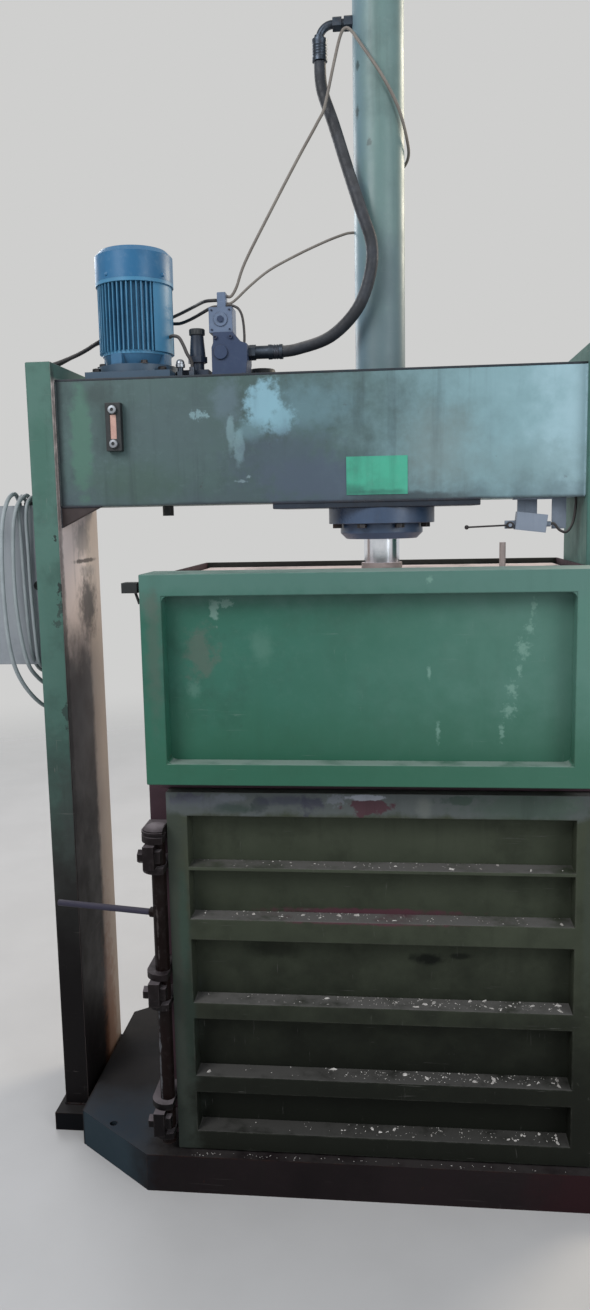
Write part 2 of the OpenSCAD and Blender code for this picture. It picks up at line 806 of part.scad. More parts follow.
// Fittings of the pressure line: block outlet, hose ends, the port's elbow and the pump's pipe,
// and the clip behind the cylinder that holds the thin lead
module hose_fittings() {
    x1 = valve_x + valve_w / 2;
    elbow_x = hose_route[len(hose_route) - 1][0];
    elbow_z = hose_route[len(hose_route) - 1][2];
    bend_r = port_z - elbow_z;
    lead_end = cylinder_lead_route[len(cylinder_lead_route) - 1];
    color([0.35, 0.38, 0.42]) {
        difference() {
            block([lead_end[0] - 10, cyl_od / 2 - 8, lead_end[2] - 16],
                  [lead_end[0] + 10, lead_end[1] + 6, lead_end[2]]);
            disc(0, 0, lead_end[2] - 17, cyl_od / 2, 18);
        }
        translate([x1, 0, hose_z])
            rotate([0, 90, 0]) {
                cylinder(r = 18, h = 16, $fn = 6);
                translate([0, 0, 16])
                    cylinder(r = 15, h = hose_route[0][0] - x1 - 16);
            }
        union() {
            disc(elbow_x, 0, elbow_z, 12, 8);
            translate([elbow_x + bend_r, 0, elbow_z])
                rotate([90, 0, 0])
                    rotate_extrude(angle = 90, start = 90)
                        translate([bend_r, 0])
                            circle(r = 9);
        }
        union() {
            translate([elbow_x + bend_r, 0, port_z])
                rotate([0, 90, 0])
                    cylinder(r = 16, h = 20, $fn = 6);
            disc_x(elbow_x + bend_r, 0, port_z, 10, -elbow_x - bend_r - cyl_od / 2 - 18);
            translate([-cyl_od / 2 - 18, 0, port_z])
                rotate([0, 90, 0])
                    difference() {
                        cylinder(r = 17, h = 24, $fn = 6);
                        translate([cyl_od, 0, cyl_od / 2 + 18])
                            rotate([0, -90, 0])
                                cylinder(r = cyl_od / 2, h = 2 * cyl_od);
                    }
        }
        for (dx = [-14, 14])
            union() {
                disc(relief_x + dx - 20, -40, lid_z1, 7, 30);
                hexagon(relief_x + dx - 20, -40, lid_z1 + 8, 20, 12);
            }
    }
}

module level_gauge() {
    y0 = -beam_d / 2;
    color([0.09, 0.10, 0.11]) {
        difference() {
            block([gauge_x - 18, y0 - 20, gauge_z - 54], [gauge_x + 18, y0, gauge_z + 54]);
            block([gauge_x - 7, y0 - 21, gauge_z - 27], [gauge_x + 7, y0 - 8, gauge_z + 27]);
        }
        for (z = [gauge_z - 38, gauge_z + 38])
            translate([gauge_x, y0 - 20, z])
                rotate([90, 0, 0])
                    cylinder(r = 9, h = 6, $fn = 6);
    }
}

module gauge_glass() {
    y0 = -beam_d / 2;
    color([0.75, 0.60, 0.48])
        block([gauge_x - 6.9, y0 - 18, gauge_z - 26.9], [gauge_x + 6.9, y0 - 8, gauge_z + 26.9]);
}

module blank_plate() {
    y0 = -beam_d / 2;
    color([0.15, 0.50, 0.33])
        block([plate_x0, y0 - 1.5, beam_z0 + plate_rise],
              [plate_x0 + plate_w, y0, beam_z0 + plate_rise + plate_h]);
}

module tank_plugs() {
    color([0.10, 0.11, 0.12]) {
        union() {
            disc(drain_x, 0, beam_z0 - 14, 9 - run_gap, 20);
            hexagon(drain_x, 0, beam_z0 - 24, 24, 24);
        }
        union() {
            disc(valve_x + 60, 85, beam_z1 - 20, 18 - run_gap, 30);
            disc(valve_x + 60, 85, lid_z1, 26, 12);
            disc(valve_x + 60, 85, lid_z1 + 12, 31, 24);
        }
    }
}

// One bracket knuckle on its arm, from the chamber's side round the hinge line
module bracket_knuckle(z) {
    difference() {
        translate([0, 0, z])
            linear_extrude(bracket_h)
                union() {
                    translate([hinge_x, hinge_y])
                        circle(r = knuckle_r);
                    translate([hinge_x - knuckle_r, hinge_y])
                        square([2 * knuckle_r, 60]);
                    translate([bay_right, hinge_y + 42])
                        square([hinge_out + knuckle_r, 68]);
                }
        disc(hinge_x, hinge_y, z - 1, pin_r + run_gap, bracket_h + 2);
    }
}

module hinge_brackets() {
    color([0.14, 0.18, 0.17])
        for (z = concat(door_hinge_z, gate_hinge_z)) {
            bracket_knuckle(z - knuckle_h / 2 - slide_gap - bracket_h);
            bracket_knuckle(z + knuckle_h / 2 + slide_gap);
        }
}

module hinge_pins() {
    reach = knuckle_h / 2 + slide_gap + bracket_h;
    color([0.35, 0.33, 0.31])
        for (z = concat(door_hinge_z, gate_hinge_z))
            union() {
                disc(hinge_x, hinge_y, z - reach - 4, pin_r, 2 * reach + 4);
                disc(hinge_x, hinge_y, z + reach, pin_r + 4, 5);
            }
}

// A door's own knuckle and the tongue that joins it to the edge at x
module door_knuckle(z, x) {
    difference() {
        translate([0, 0, z - knuckle_h / 2])
            linear_extrude(knuckle_h)
                union() {
                    translate([hinge_x, hinge_y])
                        circle(r = knuckle_r);
                    translate([x, hinge_y - 8])
                        square([hinge_x - x, 16]);
                }
        disc(hinge_x, hinge_y, z - knuckle_h, pin_r + run_gap, 2 * knuckle_h);
    }
}

module door_windows() {
    w = door_x1 - door_x0 - 2 * stile_w;
    for (row = door_rows)
        translate([door_x0 + stile_w, row[0]])
            square([w, row[1] - row[0]]);
}

// Walls of the folded frame: the door's edge and a rim round each opening
module door_walls() {
    w = door_x1 - door_x0;
    difference() {
        union() {
            difference() {
                translate([door_x0, door_z0])
                    square([w, door_z1 - door_z0]);
                translate([door_x0 + door_t, door_z0 + door_t])
                    square([w - 2 * door_t, door_z1 - door_z0 - 2 * door_t]);
            }
            for (row = door_rows)
                translate([door_x0 + stile_w - door_t, row[0] - door_t])
                    square([w - 2 * stile_w + 2 * door_t, row[1] - row[0] + 2 * door_t]);
        }
        door_windows();
    }
}

module door_frame() {
    color([0.25, 0.33, 0.25])
        union() {
            translate([0, door_y1 - door_t, 0])
                rotate([90, 0, 0])
                    linear_extrude(door_d - door_t)
                        door_walls();
            translate([0, door_y0 + door_t, 0])
                rotate([90, 0, 0])
                    linear_extrude(door_t)
                        difference() {
                            translate([door_x0, door_z0])
                                square([door_x1 - door_x0, door_z1 - door_z0]);
                            door_windows();
                        }
            for (z = door_hinge_z)
                door_knuckle(z, door_x1 - door_t);
        }
}

module door_skin() {
    color([0.21, 0.28, 0.20])
        block([door_x0, door_y1 - door_t, door_z0], [door_x1, door_y1, door_z1]);
}

module gate_frame() {
    w = gate_x1 - gate_x0;
    h = gate_z1 - gate_z0;
    low = [gate_x0, gate_z0];
    inner = [gate_x0 + stile_w, gate_z0 + stile_w];
    inner_size = [w - 2 * stile_w, h - 2 * stile_w];
    rim = [door_t, door_t];
    color([0.22, 0.48, 0.36])
        union() {
            translate([0, gate_y1, 0])
                rotate([90, 0, 0])
                    linear_extrude(gate_d)
                        difference() {
                            translate(low)
                                square([w, h]);
                            translate(low + rim)
                                square([w, h] - 2 * rim);
                        }
            translate([0, gate_y0 + gate_recess, 0])
                rotate([90, 0, 0])
                    linear_extrude(gate_recess)
                        difference() {
                            translate(inner - rim)
                                square(inner_size + 2 * rim);
                            translate(inner)
                                square(inner_size);
                        }
            translate([0, gate_y0 + door_t, 0])
                rotate([90, 0, 0])
                    linear_extrude(door_t)
                        difference() {
                            translate(low)
                                square([w, h]);
                            translate(inner)
                                square(inner_size);
                        }
            for (z = gate_hinge_z)
                door_knuckle(z, gate_x1 - door_t);
        }
}

module gate_skin() {
    y0 = gate_y0 + gate_recess;
    color([0.18, 0.42, 0.31])
        block([gate_x0 + door_t, y0, gate_z0 + door_t], [gate_x1 - door_t, y0 + 4, gate_z1 - door_t]);
}

// The outline of a bearing plate, cut back beside the door's edge
module lock_plate_outline() {
    right = door_x0 - 2;
    left = lock_x - lock_plate_r;
    intersection() {
        union() {
            translate([lock_x, lock_y])
                circle(r = lock_plate_r);
            translate([left, lock_y])
                square([right - left, front_y - lock_y]);
        }
        translate([left - 1, lock_y - 60])
            square([right - left + 1, 200]);
    }
}

module lock_bearings() {
    dome_r = 1.4 * lock_plate_r;
    color([0.16, 0.13, 0.13]) {
        for (set = lock_sets, z = set)
            difference() {
                translate([0, 0, z])
                    linear_extrude(lock_plate_t)
                        lock_plate_outline();
                disc(lock_x, lock_y, z - 1, lock_r + run_gap, lock_plate_t + 2);
            }
        union() {
            translate([0, 0, lock_cap_z])
                linear_extrude(6)
                    lock_plate_outline();
            intersection() {
                translate([lock_x, lock_y, lock_cap_z + 20 - dome_r])
                    sphere(r = dome_r);
                translate([lock_x, lock_y, lock_cap_z])
                    cylinder(r = door_x0 - 2 - lock_x + 14, h = 30);
                block([lock_x - 50, lock_y - 50, lock_cap_z], [door_x0 - 2, front_y, lock_cap_z + 30]);
            }
        }
    }
}

module lock_shaft() {
    color([0.15, 0.12, 0.11])
        union() {
            disc(lock_x, lock_y, lock_z0, lock_r, lock_cap_z - 1 - lock_z0);
            translate([lock_x, lock_y, bar_z])
                rotate([0, 0, bar_angle])
                    rotate([0, 90, 0]) {
                        cylinder(r = bar_r, h = lock_r + bar_len);
                        cylinder(r = bar_r + 4, h = lock_r + 7);
                    }
        }
}

// Three claws on the shaft, each with a cross bolt whose head presses on the door's stile
module lock_claws() {
    bolt_y = lock_y - 28;
    color([0.13, 0.12, 0.13])
        for (set = lock_sets) {
            z0 = set[0] + lock_plate_t + 0.3;
            z1 = set[1] - 2;
            zm = (z0 + z1) / 2;
            union() {
                difference() {
                    block([lock_x - 23, lock_y - 46, z0], [lock_x + 1, lock_y, z1]);
                    disc(lock_x, lock_y, z0 - 1, lock_r, z1 - z0 + 2);
                }
                translate([lock_x - 36, bolt_y, zm])
                    rotate([0, 90, 0])
                        cylinder(r = 15, h = 13, $fn = 6);
                block([lock_x + 1, bolt_y - 10, zm - 13], [lock_x + 13, bolt_y + 10, zm + 13]);
            }
        }
}

module limit_switch() {
    y0 = switch_y - 16;
    y1 = switch_y + 16;
    color([0.35, 0.37, 0.38]) {
        block([296, y0 + 6, beam_z0 - 4], [382, y1 - 6, beam_z0]);
        block([308, y1, beam_z0 - 62], [352, y1 + 4, beam_z0]);
        union() {
            translate([334, switch_y, beam_z0 - 54])
                rotate([0, 7, 0])
                    translate([-32, -16, -20])
                        cube([68, 32, 40]);
            block([whisker_x - 10, whisker_y + 6, whisker_z - 8], [whisker_x + 20, y1 - 5, whisker_z + 10]);
            disc_y(whisker_x, whisker_y + 6, whisker_z, 4, 13);
        }
        disc_x(362, switch_y, beam_z0 - 59, 6, 18);
        block([384, switch_y + 12, beam_z0 - 70], [416, switch_y + 16, beam_z0]);
    }
}

module switch_whisker() {
    reach = 96;
    color([0.12, 0.12, 0.13])
        translate([whisker_x, whisker_y, whisker_z])
            union() {
                difference() {
                    translate([0, 5, 0])
                        rotate([90, 0, 0])
                            cylinder(r = 8, h = 10);
                    translate([0, 10, 0])
                        rotate([90, 0, 0])
                            cylinder(r = 4 + run_gap, h = 20);
                }
                rotate([0, -92, 0])
                    translate([0, 0, 6])
                        cylinder(r = 2, h = reach - 6);
                rotate([0, -92, 0])
                    translate([0, 0, reach])
                        sphere(r = 5, $fn = 24);
            }
}

module gate_switch() {
    x1 = outer_left - 44;
    z0 = chamber_top - 38;
    color([0.12, 0.13, 0.14]) {
        block([x1, front_y + 6, z0 + 4], [outer_left - jamb_w, front_y + 36, z0 + 9]);
        block([x1 - 34, front_y - 4, z0], [x1, front_y + 34, z0 + 22]);
        translate([x1 - 8, front_y + 14, z0])
            rotate([0, 162, 0])
                translate([0, 0, -4])
                    cylinder(r = 3, h = 30);
    }
}

module cabinet_body() {
    t = cabinet_t;
    plate_y = cabinet_y1 - 14;
    color([0.62, 0.64, 0.65]) {
        difference() {
            block([cabinet_x0, cabinet_y0, cabinet_z0], [cabinet_x1, cabinet_y1, cabinet_z1]);
            block([cabinet_x0 + t, cabinet_y0 - 1, cabinet_z0 + t],
                  [cabinet_x1 - t, cabinet_y1 - t, cabinet_z1 - t]);
        }
        for (z = [cabinet_z0 + 60, cabinet_z1 - 60])
            difference() {
                union() {
                    disc(cabinet_hinge_x, cabinet_hinge_y, z - 30, 5, 20);
                    block([cabinet_hinge_x - 5, cabinet_hinge_y, z - 30], [cabinet_x0, cabinet_y0 + 20, z - 10]);
                }
                disc(cabinet_hinge_x, cabinet_hinge_y, z - 31, 2.5, 22);
            }
        union() {
            block([cabinet_x0 + 20, plate_y, cabinet_z0 + 20], [cabinet_x1 - 20, plate_y + 3, cabinet_z1 - 20]);
            block([cabinet_x0 + 60, plate_y + 3, cabinet_z0 + 60], [cabinet_x0 + 80, cabinet_y1 - t, cabinet_z0 + 80]);
            block([cabinet_x1 - 80, plate_y + 3, cabinet_z1 - 80], [cabinet_x1 - 60, cabinet_y1 - t, cabinet_z1 - 60]);
            for (i = [0 : 2])
                block([cabinet_x0 + 50 + 58 * i, plate_y - 62, cabinet_z1 - 150],
                      [cabinet_x0 + 95 + 58 * i, plate_y, cabinet_z1 - 70]);
            for (i = [0 : 9])
                block([cabinet_x0 + 50 + 20 * i, plate_y - 36, cabinet_z0 + 60],
                      [cabinet_x0 + 66 + 20 * i, plate_y, cabinet_z0 + 110]);
        }
    }
}

module cabinet_door() {
    y0 = cabinet_door_y0;
    y1 = y0 + cabinet_door_d;
    z0 = cabinet_z0 - 2;
    z1 = cabinet_z1 + 2;
    color([0.66, 0.68, 0.69])
        difference() {
            union() {
                difference() {
                    block([cabinet_x0 + 1, y0, z0], [cabinet_x1 - 2, y1, z1]);
                    block([cabinet_x0 + 1 + cabinet_t, y0 + cabinet_t, z0 + cabinet_t],
                          [cabinet_x1 - 2 - cabinet_t, y1 + 1, z1 - cabinet_t]);
                }
                for (z = [cabinet_z0 + 60, cabinet_z1 - 60]) {
                    disc(cabinet_hinge_x, cabinet_hinge_y, z - 9.5, 5, 20);
                    disc(cabinet_hinge_x, cabinet_hinge_y, z - 30, 2.45, 22);
                    block([cabinet_hinge_x, cabinet_hinge_y - 2, z - 9.5], [cabinet_x0 + 2, cabinet_hinge_y + 2, z + 10.5]);
                }
            }
            control_hole(main_switch_at, 10);
            control_hole(start_at, 11);
            control_hole(emergency_at, 11);
        }
}

module control_hole(at, r) {
    disc_y(cabinet_x0 + at[0], cabinet_door_y0 + cabinet_t + 1, cabinet_z0 + at[1], r + run_gap, cabinet_t + 2);
}

// A control: a stem through the door, a collar inside it and a head in front
module control(at, stem_r, head_r, head_h, stand_off) {
    translate([cabinet_x0 + at[0], cabinet_door_y0, cabinet_z0 + at[1]])
        rotate([90, 0, 0]) {
            translate([0, 0, -cabinet_t - stand_off - 4])
                cylinder(r = stem_r, h = cabinet_t + 2 * stand_off + 4);
            translate([0, 0, -cabinet_t - stand_off - 7])
                cylinder(r = stem_r + 3, h = 5);
            translate([0, 0, stand_off])
                cylinder(r = head_r, h = head_h);
        }
}

module main_switch() {
    color([0.12, 0.12, 0.12])
        union() {
            control(main_switch_at, 10, 22, 8, 0.3);
            translate([cabinet_x0 + main_switch_at[0], cabinet_door_y0 - 8, cabinet_z0 + main_switch_at[1]])
                block([-5, -16, -20], [5, 0, 20]);
        }
}

module start_button() {
    color([0.10, 0.45, 0.22])
        control(start_at, 11, 14, 8, 5);
}

module emergency_button() {
    color([0.70, 0.10, 0.08])
        control(emergency_at, 11, 20, 16, 5);
}

module piston() {
    color([0.60, 0.61, 0.62])
        difference() {
            disc(0, 0, rod_z1, cyl_id / 2 - run_gap, piston_h);
            for (z = [16, 54])
                difference() {
                    disc(0, 0, rod_z1 + z, cyl_id, 10);
                    disc(0, 0, rod_z1 + z - 1, cyl_id / 2 - 4, 12);
                }
        }
}

module ram_rod() {
    color([0.78, 0.79, 0.80])
        disc(0, 0, rod_z0, rod_d / 2, rod_z1 - rod_z0);
}

module platen() {
    z1 = platen_top - platen_plate;
    wx = platen_x1 - platen_x0;
    color([0.40, 0.38, 0.36])
        difference() {
            block([platen_x0, platen_y0, platen_z0], [platen_x1, platen_y1, z1]);
            for (i = [0 : 3], j = [0 : 1]) {
                cell_x = (wx - 5 * platen_web) / 4;
                cell_y = (platen_y1 - platen_y0 - 3 * platen_web) / 2;
                x0 = platen_x0 + platen_web + i * (cell_x + platen_web);
                y0 = platen_y0 + platen_web + j * (cell_y + platen_web);
                block([x0, y0, platen_z0 + platen_plate], [x0 + cell_x, y0 + cell_y, z1 + 1]);
            }
        }
}

module platen_cover() {
    z0 = platen_top - platen_plate;
    color([0.62, 0.58, 0.58])
        union() {
            block([platen_x0, platen_y0, z0], [platen_x1, platen_y1, platen_top]);
            translate([0, 0, platen_top])
                rotate_extrude()
                    polygon([[0, -1], [rod_d / 2 + 22, -1], [rod_d / 2 + 22, 2], [rod_d / 2 + 6, 6],
                             [rod_d / 2 + 6, collar_h], [0, collar_h]]);
            disc(trip_x, whisker_y, platen_top - 1, 7, 66);
        }
}

module motor_shaft() {
    color([0.60, 0.60, 0.62])
        union() {
            disc(motor_x, 0, pump_z1 - 80, shaft_r, fan_z0 + 30 - pump_z1 + 80);
            disc(motor_x, 0, pump_z1 + 26, 30, 56);
        }
}

module motor_fan() {
    color([0.10, 0.10, 0.11])
        translate([motor_x, 0, fan_z0])
            difference() {
                union() {
                    cylinder(r = 22, h = 26);
                    cylinder(r = 66, h = 3);
                    for (a = [0 : 45 : 315])
                        rotate([0, 0, a])
                            translate([15, -1.5, 0])
                                cube([56, 3, 26]);
                }
                translate([0, 0, -1])
                    cylinder(r = shaft_r, h = 40);
            }
}

module hydraulic_hose() {
    color([0.10, 0.10, 0.11])
        cord(hose_route, hose_r, sides = 10, steps = 2);
}

module motor_lead() {
    color([0.15, 0.15, 0.15])
        cord(motor_lead_route, motor_lead_r);
}

module valve_lead() {
    color([0.20, 0.19, 0.18])
        cord(valve_lead_route, valve_lead_r);
}

module cylinder_lead() {
    color([0.42, 0.40, 0.37])
        cord(cylinder_lead_route, cylinder_lead_r);
}

module cabinet_cable_a() {
    color([0.45, 0.46, 0.47])
        cord(cable_a_route, cabinet_cable_r);
}

module cabinet_cable_b() {
    color([0.45, 0.46, 0.47])
        cord(cable_b_route, cabinet_cable_r);
}

module switch_lead() {
    color([0.12, 0.12, 0.13])
        cord(switch_lead_route, switch_lead_r);
}

base_frame();
left_upright();
right_upright();
crosshead_tank();
tank_lid();
ram_plate();
corner_gussets();
chamber_floor();
chamber_side_walls();
chamber_back_wall();
front_posts();
cylinder_tube();
cylinder_cap();
cylinder_flange();
gland_ring();
flange_bolts();
motor_body();
motor_bell();
fan_cover();
terminal_box();
gear_pump();
valve_block();
valve_coil();
coil_plug();
relief_valve();
hose_fittings();
level_gauge();
gauge_glass();
blank_plate();
tank_plugs();
hinge_brackets();
hinge_pins();
lock_bearings();
limit_switch();
gate_switch();
cabinet_body();
hydraulic_hose();
motor_lead();
valve_lead();
cylinder_lead();
cabinet_cable_a();
cabinet_cable_b();
switch_lead();
piston();
ram_rod();
platen();
platen_cover();
door_frame();
door_skin();
gate_frame();
gate_skin();
lock_shaft();
lock_claws();
switch_whisker();
motor_shaft();
motor_fan();
cabinet_door();
main_switch();
start_button();
emergency_button();
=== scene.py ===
import random
from collections import namedtuple
from math import cos, radians, sin, sqrt, tau

import bmesh
import bpy
from mathutils import Matrix, Vector


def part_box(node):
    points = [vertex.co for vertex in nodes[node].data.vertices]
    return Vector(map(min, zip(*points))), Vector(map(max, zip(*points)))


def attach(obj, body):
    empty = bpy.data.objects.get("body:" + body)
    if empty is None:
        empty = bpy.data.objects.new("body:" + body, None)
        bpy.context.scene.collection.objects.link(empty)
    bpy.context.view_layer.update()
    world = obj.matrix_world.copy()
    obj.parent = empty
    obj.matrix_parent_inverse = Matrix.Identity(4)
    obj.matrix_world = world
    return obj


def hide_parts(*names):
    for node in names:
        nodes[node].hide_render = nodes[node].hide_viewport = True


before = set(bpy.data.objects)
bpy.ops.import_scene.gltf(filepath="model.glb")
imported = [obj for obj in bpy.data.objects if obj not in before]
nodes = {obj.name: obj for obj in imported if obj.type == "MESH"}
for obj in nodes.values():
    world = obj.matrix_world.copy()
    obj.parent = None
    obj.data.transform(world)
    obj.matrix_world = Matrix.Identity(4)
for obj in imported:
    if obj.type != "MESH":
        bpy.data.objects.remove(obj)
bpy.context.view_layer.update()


def new_object(name, data):
    """An object of this data, in the scene."""
    made = bpy.data.objects.new(name, data)
    bpy.context.scene.collection.objects.link(made)
    return made


# Camera, at the photograph's place and angle, for a picture of 590 by 1310
CAMERA_PLACE = (0.039, -2.377, 1.5035)
CAMERA_AXES = ((0.99449, 0.10298, -0.01953), (0.00478, 0.14153, 0.98992), (0.1047, -0.98456, 0.14026))
LENS = 27.04
SENSOR = 36.0

camera_data = bpy.data.cameras.new("camera")
camera_data.lens = LENS
camera_data.sensor_width = SENSOR
camera = new_object("camera", camera_data)
camera.matrix_world = Matrix(CAMERA_AXES).transposed().to_4x4()
camera.location = CAMERA_PLACE
bpy.context.scene.camera = camera
bpy.context.scene.view_settings.view_transform = "Standard"


# Shader nodes

materials = {}


def linear(code):
    """Linear colour of a hex code."""
    parts = [int(code[i:i + 2], 16) / 255 for i in (1, 3, 5)]
    return (*[c / 12.92 if c <= 0.04045 else ((c + 0.055) / 1.055) ** 2.4 for c in parts], 1.0)


# A stain, patch or chip: an ellipsoid with a ragged, softened edge, in metres.
# side is an axis of the surface's direction with its range, for a mark on one side only.
Mark = namedtuple("Mark", "centre radii colour strength soft ragged side", defaults=(1.0, 0.15, 0.35, None))
# A change of colour along an axis, from start to end
Slope = namedtuple("Slope", "axis start end colour strength ragged side", defaults=(1.0, 0.05, None))

FRONT = ("y", -0.2, -0.8)
UPWARD = ("z", 0.5, 0.9)
RIGHT = ("x", 0.5, 0.9)


class Shader:
    """One procedural material. Its methods add nodes and return a socket: patch and slope return masks."""

    def __init__(self, name, wearers=""):
        """Starts a material, and puts it on those nodes of the frame."""
        self.material = materials[name] = bpy.data.materials.new(name)
        for node in wearers.split():
            nodes[node].material_slots[0].material = self.material
        self.material.use_nodes = True
        self.tree = self.material.node_tree
        self.surface = self.tree.nodes["Principled BSDF"]
        coordinates = self.tree.nodes.new("ShaderNodeTexCoord")
        self.place = coordinates.outputs["Object"]
        self.x, self.y, self.z = self.add("ShaderNodeSeparateXYZ", Vector=self.place).outputs
        facing = self.add("ShaderNodeSeparateXYZ", Vector=coordinates.outputs["Normal"]).outputs
        self.side = dict(zip("xyz", facing))
        self.wobbles = {}

    def add(self, kind, settings=None, values=(), **inputs):
        """Adds a node with its settings, and with values for its inputs in their order or by name."""
        node = self.tree.nodes.new(kind)
        for key, value in (settings or {}).items():
            setattr(node, key, value)
        for socket, value in zip(node.inputs, values):
            self.put(socket, value)
        for key, value in inputs.items():
            self.put(node.inputs[key.replace("_", " ")], value)
        return node

    def put(self, socket, value):
        """Links the socket to another one, or sets it to a number, a vector or the colour of a hex code."""
        if isinstance(value, bpy.types.NodeSocket):
            self.tree.links.new(value, socket)
        else:
            socket.default_value = linear(value) if isinstance(value, str) else value

    def math(self, operation, *values, kind="ShaderNodeMath", output=0):
        return self.add(kind, {"operation": operation}, values).outputs[output]

    def vector(self, operation, *values, output="Vector"):
        return self.math(operation, *values, kind="ShaderNodeVectorMath", output=output)

    def times(self, first, *others):
        for other in others:
            first = self.math("MULTIPLY", first, other)
        return first

    def band(self, value, low, high):
        """0 up to low and 1 from high on, with a soft step between; high may be the smaller one."""
        return self.add("ShaderNodeMapRange", {"interpolation_type": "SMOOTHSTEP"},
                        Value=value, From_Min=low, From_Max=high).outputs[0]

    def mix(self, factor, first, second, kind="RGBA", sockets=(0, 6, 7), output=2):
        """From the first colour to the second one by the factor."""
        node = self.add("ShaderNodeMix", {"data_type": kind})
        for index, value in zip(sockets, (factor, first, second)):
            self.put(node.inputs[index], value)
        return node.outputs[output]

    def blend(self, factor, first, second):
        """From the first number to the second one by the factor."""
        return self.mix(factor, first, second, "FLOAT", (0, 2, 3), 0)

    def noise(self, scale, detail=4.0, rough=0.55, stretch=(1, 1, 1), shift=0.0, warp=0.0):
        vector = self.place
        if stretch != (1, 1, 1) or shift:
            vector = self.add("ShaderNodeMapping", Vector=self.place, Scale=stretch,
                              Location=(shift, shift, shift)).outputs[0]
        return self.add("ShaderNodeTexNoise", Vector=vector, Scale=scale, Detail=detail,
                        Roughness=rough, Distortion=warp).outputs[0]

    def wobble(self, size):
        """A shared noise about 0, of a grain that suits a mark of this size."""
        scale = 110 if size < 0.02 else 45 if size < 0.07 else 18
        if scale not in self.wobbles:
            self.wobbles[scale] = self.math("SUBTRACT", self.noise(scale, 5, 0.62, shift=scale / 9), 0.5)
        return self.wobbles[scale]

    def edge(self, radius):
        """1 along the corners, 0 on flat stretches."""
        rounded = self.add("ShaderNodeBevel", {"samples": 3}, Radius=radius).outputs[0]
        plain = self.add("ShaderNodeNewGeometry").outputs["Normal"]
        return self.band(self.vector("DOT_PRODUCT", rounded, plain, output="Value"), 0.995, 0.88)

    def cavity(self, reach):
        """1 deep in the inner corners, 0 on open faces."""
        open_share = self.add("ShaderNodeAmbientOcclusion", {"samples": 3, "only_local": True},
                              Distance=reach).outputs["AO"]
        return self.band(open_share, 0.85, 0.3)

    def on_side(self, mask, side):
        """The mask, kept to the faces that look that way."""
        return self.times(mask, self.band(self.side[side[0]], side[1], side[2])) if side else mask

    def patch(self, mark):
        share = self.vector("DIVIDE", self.vector("SUBTRACT", self.place, mark.centre), mark.radii)
        wobble = self.times(self.wobble(sorted(mark.radii)[1]), 5 * mark.ragged)
        reach = self.math("ADD", self.vector("LENGTH", share, output="Value"), wobble)
        return self.on_side(self.times(self.band(reach, 1 + mark.soft, 1 - mark.soft), mark.strength), mark.side)

    def slope(self, slope):
        axis = {"x": self.x, "y": self.y, "z": self.z}[slope.axis]
        reach = self.math("ADD", axis, self.times(self.wobble(1), 4 * slope.ragged)) if slope.ragged else axis
        return self.on_side(self.times(self.band(reach, slope.start, slope.end), slope.strength), slope.side)

    def finish(self, colour, rough, height=None, lift=0.0004, **sockets):
        """Ends in the surface: colour, roughness, the height of a bump, and other sockets by name."""
        self.put(self.surface.inputs["Base Color"], colour)
        self.put(self.surface.inputs["Roughness"], rough)
        if height is not None:
            bump = self.add("ShaderNodeBump", Strength=1.0, Distance=lift, Height=height)
            self.put(self.surface.inputs["Normal"], bump.outputs[0])
        for key, value in sockets.items():
            self.put(self.surface.inputs[key.replace("_", " ")], value)


